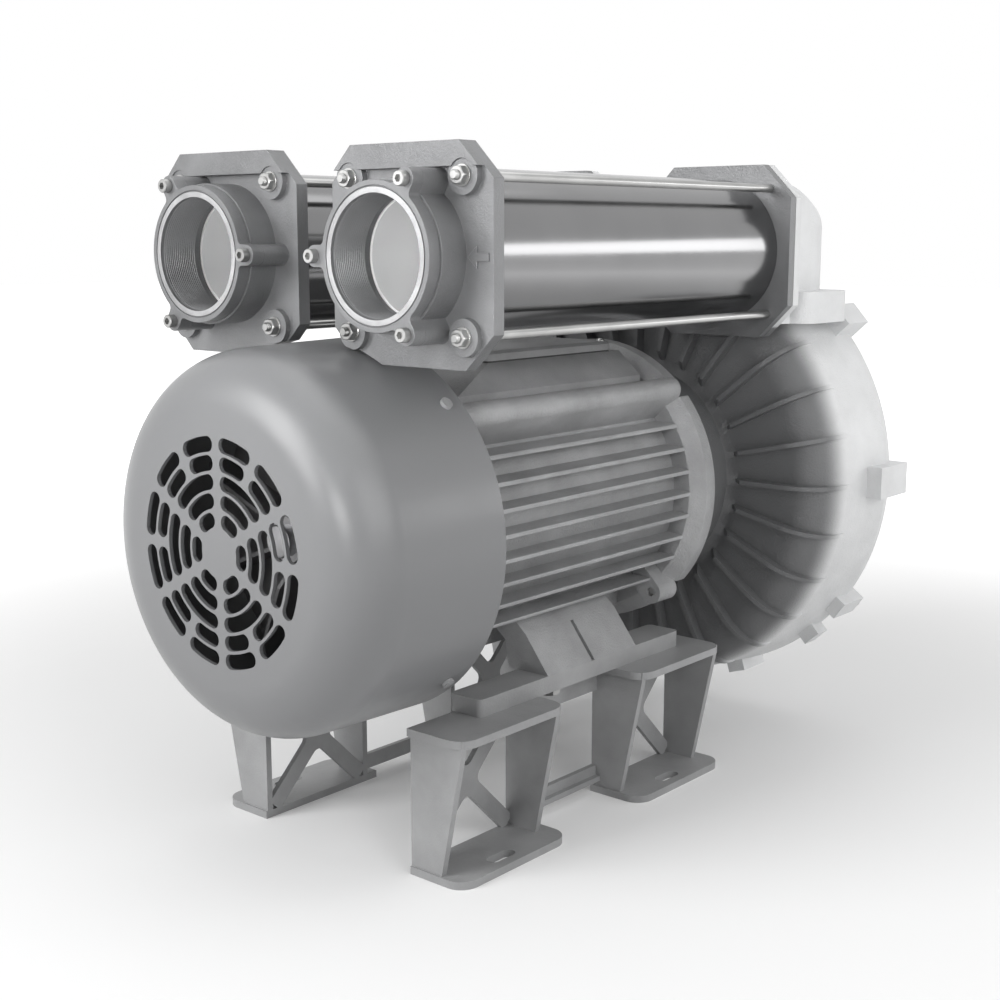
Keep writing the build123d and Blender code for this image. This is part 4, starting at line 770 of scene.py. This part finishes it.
def hex_bolt(points, axis):
    """A hexagon bolt for a plain one: its shank, a washer, and its chamfered head."""
    middle, places, ends = rings(points, axis)
    way = 1 if ends[1] > ends[0] else -1
    tip, seat, top = places[::way][[0, 1, -1]]
    across, start = hexagon_of(points, axis)
    shank = min(ends)
    length = abs(seat - tip)
    lift, limit = head_rows(across, abs(top - seat), BOLT_HOLE * across)
    lift = np.concatenate([[[-length], [shank * 0.2 - length]], lift])
    limit = np.concatenate([[[shank * 0.8], [shank]], limit])
    limit[2] = shank
    turn = turns(HEX_STEPS)
    radius = np.minimum(hexagon(turn, across, start), limit)
    plain = 2 + WASHER_ROWS
    radius[:plain] = limit[:plain]
    middle[axis] = seat
    return along(middle, axis, way * lift, radius, turn)


def hex_nut(points, axis, hole):
    """A hexagon nut on its washer, with its bore open."""
    middle, places, _ = rings(points, axis)
    across, start = hexagon_of(points, axis)
    lift, limit = head_rows(across, places[-1] - places[0], hole)
    turn = turns(HEX_STEPS)
    radius = np.minimum(hexagon(turn, across, start), limit)
    radius[:WASHER_ROWS] = limit[:WASHER_ROWS]
    middle[axis] = places[-1]
    return along(middle, axis, -lift, radius, turn)


def threaded_rod(points):
    """A rod along X with a thread on its front end: the radius falls from the crest by
    a triangle wave of lift over pitch less the share of a full turn."""
    middle, places, ends = rings(points, 0)
    pitch = sizes().rod_pitch
    length = places[-1] - places[0]
    lift = np.concatenate([[0.0], np.arange(pitch / 2, sizes().rod_thread, pitch / 6)])
    lift = np.concatenate([lift, [sizes().rod_thread + pitch, length]])[:, None]
    turn = turns(ROD_STEPS)
    wave = abs((lift / pitch - turn / tau) % 1 * 2 - 1)
    wave = np.where(lift < sizes().rod_thread, wave, 0)
    radius = ends[1] - 0.5 * pitch * wave
    radius[0] = ends[1] * 0.75
    middle[0] = places[0]
    return along(middle, 0, lift, radius, turn)


def socket_screw(points):
    """A socket head screw along X, head towards the ports: a knurled round head with a
    six-sided recess. The knurl is a cosine of the turn on the head's radius."""
    middle, places, ends = rings(points, 0)
    top, tip = places[[0, -1]]
    head = (points.max(0) - points.min(0))[1] / 2
    seat = top + sizes().screw_head
    recess = sizes().screw_recess
    turn = turns(SCREW_STEPS)
    six = hexagon(turn, head * 0.95, 0.0)
    knurl = 1 - 0.018 * (1 + np.cos(KNURLS * turn))
    edge = head * 0.1
    rows = [
        (recess, six * 0.1), (recess, six), (0.0, six), (0.0, head - edge + 0 * turn),
        (edge, head * knurl), (seat - top - edge / 2, head * knurl),
        (seat - top, head - edge + 0 * turn), (seat - top, ends[1] + 0 * turn),
        (tip - top, ends[1] + 0 * turn)]
    lift = np.array([row[0] for row in rows])[:, None]
    radius = np.concatenate([row[1] for row in rows])
    middle[0] = top
    return along(middle, 0, lift, radius, turn)


def pan_screw(points):
    """A pan head screw along Z: the head's radius follows a quarter of an ellipse."""
    middle, places, ends = rings(points, 2)
    head = np.ptp(points[:, 0]) / 2
    seat, top = places[[1, -1]]
    bend = np.linspace(0, pi / 2, 5)[:-1]
    lift = np.array([places[0] - seat, 0, 0, *((top - seat) * (0.3 + 0.7 * np.sin(bend)))])
    radius = np.array([ends[0], ends[0], head, *(head * np.cos(bend * 0.85))])
    turn = turns(ROD_STEPS)
    middle[2] = seat
    return along(middle, 2, lift[:, None], radius[:, None] + 0 * turn, turn)


def fasteners(name, node, shape, finish, wrap_rows=False):
    """One piece that holds a finer shape for each solid of a node of fasteners."""
    grids = [shape(points) for points in solid_points(node)]
    return new_piece(name, grid_mesh(name, grids, wrap_rows), finish, node)


def silencer_axis(side):
    """A point on a silencer's axis, from the middle of its tube."""
    low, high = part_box(side + "_silencer_tube")
    return np.array((low + high) / 2)


def pipe_thread(side, finish):
    """The thread in a port: a ring whose inner radius falls from the bore by a triangle
    wave of lift over pitch less the share of a full turn, and whose outside is plain."""
    pitch = sizes().pipe_pitch
    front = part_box(side + "_port_flange")[0].x
    origin = silencer_axis(side)
    origin[0] = front
    start, end = sizes().thread_start, sizes().thread_end
    lift = np.arange(start, end, pitch / 5)[:, None]
    turn = turns(sizes().round_steps)
    wave = abs((lift / pitch - turn / tau) % 1 * 2 - 1)
    fade = np.clip((lift - start) / pitch, 0, 1) * np.clip((end - lift) / pitch, 0, 1)
    inner = sizes().port_bore - sizes().thread_depth * wave * fade
    back = np.full_like(turn, sizes().port_bore + 0.0002)
    lift = np.concatenate([lift, lift[[-1, 0]]])
    radius = np.concatenate([inner, back, back])
    mesh = grid_mesh(side + "_thread", [along(origin, 0, lift, radius, turn)], True)
    return added_piece(side + "_thread", mesh, finish, side + "_port_flange")


def turned_face(flange, side):
    """Gives a port flange's front ring, inside its groove, the bright turned finish. The
    ring's faces look towards -X and lie within its width of the bore."""
    flange.data.materials.append(machined_ring())
    axis = silencer_axis(side)
    for face in flange.data.polygons:
        corners = np.array([flange.data.vertices[index].co for index in face.vertices])
        reach = np.hypot(corners[:, 1] - axis[1], corners[:, 2] - axis[2]).max()
        if face.normal.x < -0.9 and reach < sizes().port_bore + sizes().ring_width:
            face.material_index = 1


def flow_arrow(finish):
    """A raised arrow on the inlet plate that points at its port: an outline of seven
    points, in shares of its length, carried forward from the plate's face."""
    size = sizes().arrow
    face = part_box("inlet_silencer_tube")[0].x - sizes().plate_front
    place = silencer_axis("inlet") + np.array((0, -sizes().arrow_side, 0))
    outline = np.array([
        (-0.5, -0.16), (0.05, -0.16), (0.05, -0.42), (0.5, 0.0),
        (0.05, 0.42), (0.05, 0.16), (-0.5, 0.16)]) * size
    count = len(outline)
    points = np.zeros((2 * count, 3))
    points[:, 1:] = np.tile(outline, (2, 1)) + place[1:]
    points[:count, 0] = face - sizes().arrow_rise
    points[count:, 0] = face + sizes().arrow_rise
    step = np.arange(count)
    after = (step + 1) % count
    faces = [step[::-1].tolist(), (step + count).tolist()]
    faces += np.stack([step, after, after + count, step + count], 1).tolist()
    mesh = bpy.data.meshes.new("flow_arrow")
    mesh.from_pydata(points.tolist(), [], faces)
    face_outward(mesh)
    piece = added_piece("flow_arrow", mesh, finish, "inlet_front_plate")
    rounding = piece.modifiers.new("rounding", "BEVEL")
    rounding.width = sizes().arrow_rise / 3
    return piece


class BLOWER_OT_inner_pieces(Operator):
    """Finish every node of the frame by its slot, so that inner pieces are dressed too"""
    bl_idname = "blower.inner_pieces"
    bl_label = "Inner pieces"

    def execute(self, context):
        for name, node in frame["nodes"].items():
            node.data.materials.clear()
            node.data.materials.append(FINISHES[SLOTS[name]]())
        return {"FINISHED"}


class BLOWER_OT_motor(Operator):
    """Cowl, frame, shields and terminal box"""
    bl_idname = "blower.motor"
    bl_label = "Motor"

    def execute(self, context):
        edges = sizes()
        dressed("fan_cowl", "fan_cover", cowl_paint(), edges.cowl_edge, segments=3)
        dressed("finned_frame", "motor_frame", casting_paint(), edges.frame_edge)
        dressed("drive_shield", "drive_end_shield", casting_paint(), edges.frame_edge)
        dressed("box_casting", "terminal_box", casting_paint(), edges.frame_edge)
        dressed("box_lid", "terminal_box_lid", casting_paint(), edges.frame_edge)
        dressed("box_seal", "terminal_box_gasket", gasket_board(), edges.seal_edge)
        return {"FINISHED"}


class BLOWER_OT_casing(Operator):
    """Ribbed casing and cover"""
    bl_idname = "blower.casing"
    bl_label = "Blower casing"

    def execute(self, context):
        edge = sizes().casting_edge
        dressed("ribbed_casing", "blower_casing", casing_aluminium(), edge)
        dressed("ribbed_cover", "blower_cover", cast_aluminium(), edge)
        return {"FINISHED"}


class BLOWER_OT_silencers(Operator):
    """Port flanges, plates and tubes of both silencers"""
    bl_idname = "blower.silencers"
    bl_label = "Silencers"

    def execute(self, context):
        edges = sizes()
        for side in ("inlet", "outlet"):
            flange = dressed(
                side + "_flange", side + "_port_flange", plate_casting(), edges.sheet_edge)
            turned_face(flange, side)
            dressed(side + "_front", side + "_front_plate", plate_casting(), edges.casting_edge)
            dressed(side + "_rear", side + "_rear_plate", plate_casting(), edges.sheet_edge)
            dressed(side + "_core", side + "_silencer_core", pale_lining(), edges.sheet_edge)
            dressed(side + "_tube", side + "_silencer_tube", tube_aluminium(), edges.tube_edge)
            pipe_thread(side, plate_casting())
        flow_arrow(plate_casting())
        return {"FINISHED"}


class BLOWER_OT_fasteners(Operator):
    """Bolts, nuts, screws and tie rods, each with its real shape"""
    bl_idname = "blower.fasteners"
    bl_label = "Fasteners"

    def execute(self, context):
        for node, axis in BOLTED.items():
            fasteners(node + "_hex", node, lambda points: hex_bolt(points, axis), zinc_steel())
        rod = rings(solid_points("tie_rods")[0], 0)[2][0]
        fasteners(
            "rod_nuts", "tie_rod_nuts", lambda points: hex_nut(points, 0, rod), zinc_steel(),
            wrap_rows=True)
        fasteners("threaded_rods", "tie_rods", threaded_rod, zinc_steel())
        fasteners("socket_screws", "port_screws", socket_screw, zinc_steel())
        fasteners("pan_screws", "lid_screws", pan_screw, zinc_steel())
        return {"FINISHED"}


class BLOWER_OT_base(Operator):
    """Base rails and support bars"""
    bl_idname = "blower.base"
    bl_label = "Base"

    def execute(self, context):
        edge = sizes().rail_edge
        for side in ("left", "right"):
            dressed("rail_" + side, "base_rail_" + side, rail_paint(), edge)
            dressed("bar_" + side, "support_bar_" + side, rail_paint(), edge)
        return {"FINISHED"}


def area_lamp(name, place, aim, width, height, power, beam):
    """One rectangular lamp that looks from its place at a point, with a beam of the
    given angle."""
    data = bpy.data.lights.new(name, "AREA")
    data.shape = "RECTANGLE"
    data.size = width
    data.size_y = height
    data.energy = power
    data.spread = radians(beam)
    lamp = linked(name, data)
    lamp.location = place
    lamp.rotation_euler = (Vector(aim) - Vector(place)).to_track_quat("-Z", "Y").to_euler()
    return lamp


def seen_white(tree):
    """One where a ray is the camera's, a mirror's or a glass's, and zero elsewhere."""
    path = tree.nodes.new("ShaderNodeLightPath")
    either = path.outputs["Is Camera Ray"]
    for kind in ("Is Glossy Ray", "Is Transmission Ray"):
        pick = tree.nodes.new("ShaderNodeMath")
        pick.operation = "MAXIMUM"
        tree.links.new(either, pick.inputs[0])
        tree.links.new(path.outputs[kind], pick.inputs[1])
        either = pick.outputs[0]
    return either


def studio_world():
    """Even light from all round, and a white background where it is seen."""
    world = bpy.data.worlds.new("studio")
    world.use_nodes = True
    tree = world.node_tree
    even = tree.nodes["Background"]
    even.inputs["Color"].default_value = (1, 1, 1, 1)
    even.inputs["Strength"].default_value = view().sky_level
    white = tree.nodes.new("ShaderNodeBackground")
    white.inputs["Color"].default_value = (1, 1, 1, 1)
    white.inputs["Strength"].default_value = 1.0
    either = tree.nodes.new("ShaderNodeMixShader")
    tree.links.new(seen_white(tree), either.inputs["Fac"])
    tree.links.new(even.outputs[0], either.inputs[1])
    tree.links.new(white.outputs[0], either.inputs[2])
    tree.links.new(either.outputs[0], tree.nodes["World Output"].inputs["Surface"])
    bpy.context.scene.world = world


def floor_finish():
    """Pale floor: matt white, with a glow that grows with the distance from the blower and
    that only the camera and mirrors see."""
    material = bpy.data.materials.new("studio_floor")
    material.use_nodes = True
    tree = material.node_tree
    shader = tree.nodes["Principled BSDF"]
    shader.inputs["Base Color"].default_value = (0.86, 0.86, 0.86, 1)
    shader.inputs["Roughness"].default_value = 0.9
    shader.inputs["Specular IOR Level"].default_value = 0.1
    glow = tree.nodes.new("ShaderNodeEmission")
    glow.inputs["Color"].default_value = (1, 1, 1, 1)
    place = tree.nodes.new("ShaderNodeTexCoord")
    reach = tree.nodes.new("ShaderNodeVectorMath")
    reach.operation = "LENGTH"
    tree.links.new(place.outputs["Object"], reach.inputs[0])
    far = tree.nodes.new("ShaderNodeMapRange")
    far.interpolation_type = "SMOOTHSTEP"
    far.inputs["From Min"].default_value = view().near_reach
    far.inputs["From Max"].default_value = view().far_reach
    far.inputs["To Min"].default_value = view().near_glow
    far.inputs["To Max"].default_value = view().floor_glow
    tree.links.new(reach.outputs["Value"], far.inputs["Value"])
    level = tree.nodes.new("ShaderNodeMath")
    level.operation = "MULTIPLY"
    tree.links.new(seen_white(tree), level.inputs[0])
    tree.links.new(far.outputs["Result"], level.inputs[1])
    tree.links.new(level.outputs[0], glow.inputs["Strength"])
    both = tree.nodes.new("ShaderNodeAddShader")
    tree.links.new(shader.outputs[0], both.inputs[0])
    tree.links.new(glow.outputs[0], both.inputs[1])
    tree.links.new(both.outputs[0], tree.nodes["Material Output"].inputs["Surface"])
    return material


class BLOWER_OT_stage(Operator):
    """Camera, lamps, background and floor"""
    bl_idname = "blower.stage"
    bl_label = "Stage"

    def execute(self, context):
        look = view()
        data = bpy.data.cameras.new("camera")
        data.lens = look.lens
        data.sensor_width = 36.0
        camera = linked("camera", data)
        camera.location = look.place
        camera.rotation_euler = Vector(look.aim).to_track_quat("-Z", "Y").to_euler()
        context.scene.camera = camera
        for name, place, width, height, beam in LAMPS:
            aim = look.port_aim if name == "port" else (0, 0, AXIS_HEIGHT)
            power = getattr(look, name + "_power")
            area_lamp(name + "_lamp", place, aim, width, height, power, beam)
        studio_world()
        half = look.floor_size / 2
        mesh = bpy.data.meshes.new("floor")
        corners = [(-half, -half, 0), (half, -half, 0), (half, half, 0), (-half, half, 0)]
        mesh.from_pydata(corners, [], [(0, 1, 2, 3)])
        mesh.materials.append(floor_finish())
        floor = linked("floor", mesh)
        context.scene.view_settings.view_transform = "Standard"
        return {"FINISHED"}


OPERATORS = (
    BLOWER_OT_inner_pieces,
    BLOWER_OT_motor,
    BLOWER_OT_casing,
    BLOWER_OT_silencers,
    BLOWER_OT_fasteners,
    BLOWER_OT_base,
    BLOWER_OT_stage,
)


class BLOWER_PT_pieces(Panel):
    """Lists the operators and the settings"""
    bl_label = "Side channel blower"
    bl_idname = "BLOWER_PT_pieces"
    bl_space_type = "VIEW_3D"
    bl_region_type = "UI"
    bl_category = "Blower"

    def draw(self, context):
        for operator in OPERATORS:
            self.layout.operator(operator.bl_idname)
        for group in (sizes(), colours(), view()):
            for name in group.bl_rna.properties.keys():
                if name not in ("rna_type", "name"):
                    self.layout.prop(group, name)


CLASSES = (BlowerSizes, BlowerColours, BlowerView) + OPERATORS + (BLOWER_PT_pieces,)


def register():
    for item in CLASSES:
        bpy.utils.register_class(item)
    bpy.types.Scene.blower_sizes = PointerProperty(type=BlowerSizes)
    bpy.types.Scene.blower_colours = PointerProperty(type=BlowerColours)
    bpy.types.Scene.blower_view = PointerProperty(type=BlowerView)


def unregister():
    del bpy.types.Scene.blower_view
    del bpy.types.Scene.blower_colours
    del bpy.types.Scene.blower_sizes
    for item in reversed(CLASSES):
        bpy.utils.unregister_class(item)


def main():
    """Builds every piece in order."""
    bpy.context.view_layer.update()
    register()
    for operator in OPERATORS:
        getattr(bpy.ops.blower, operator.bl_idname.split(".")[1])()


if __name__ == "__main__":
    main()
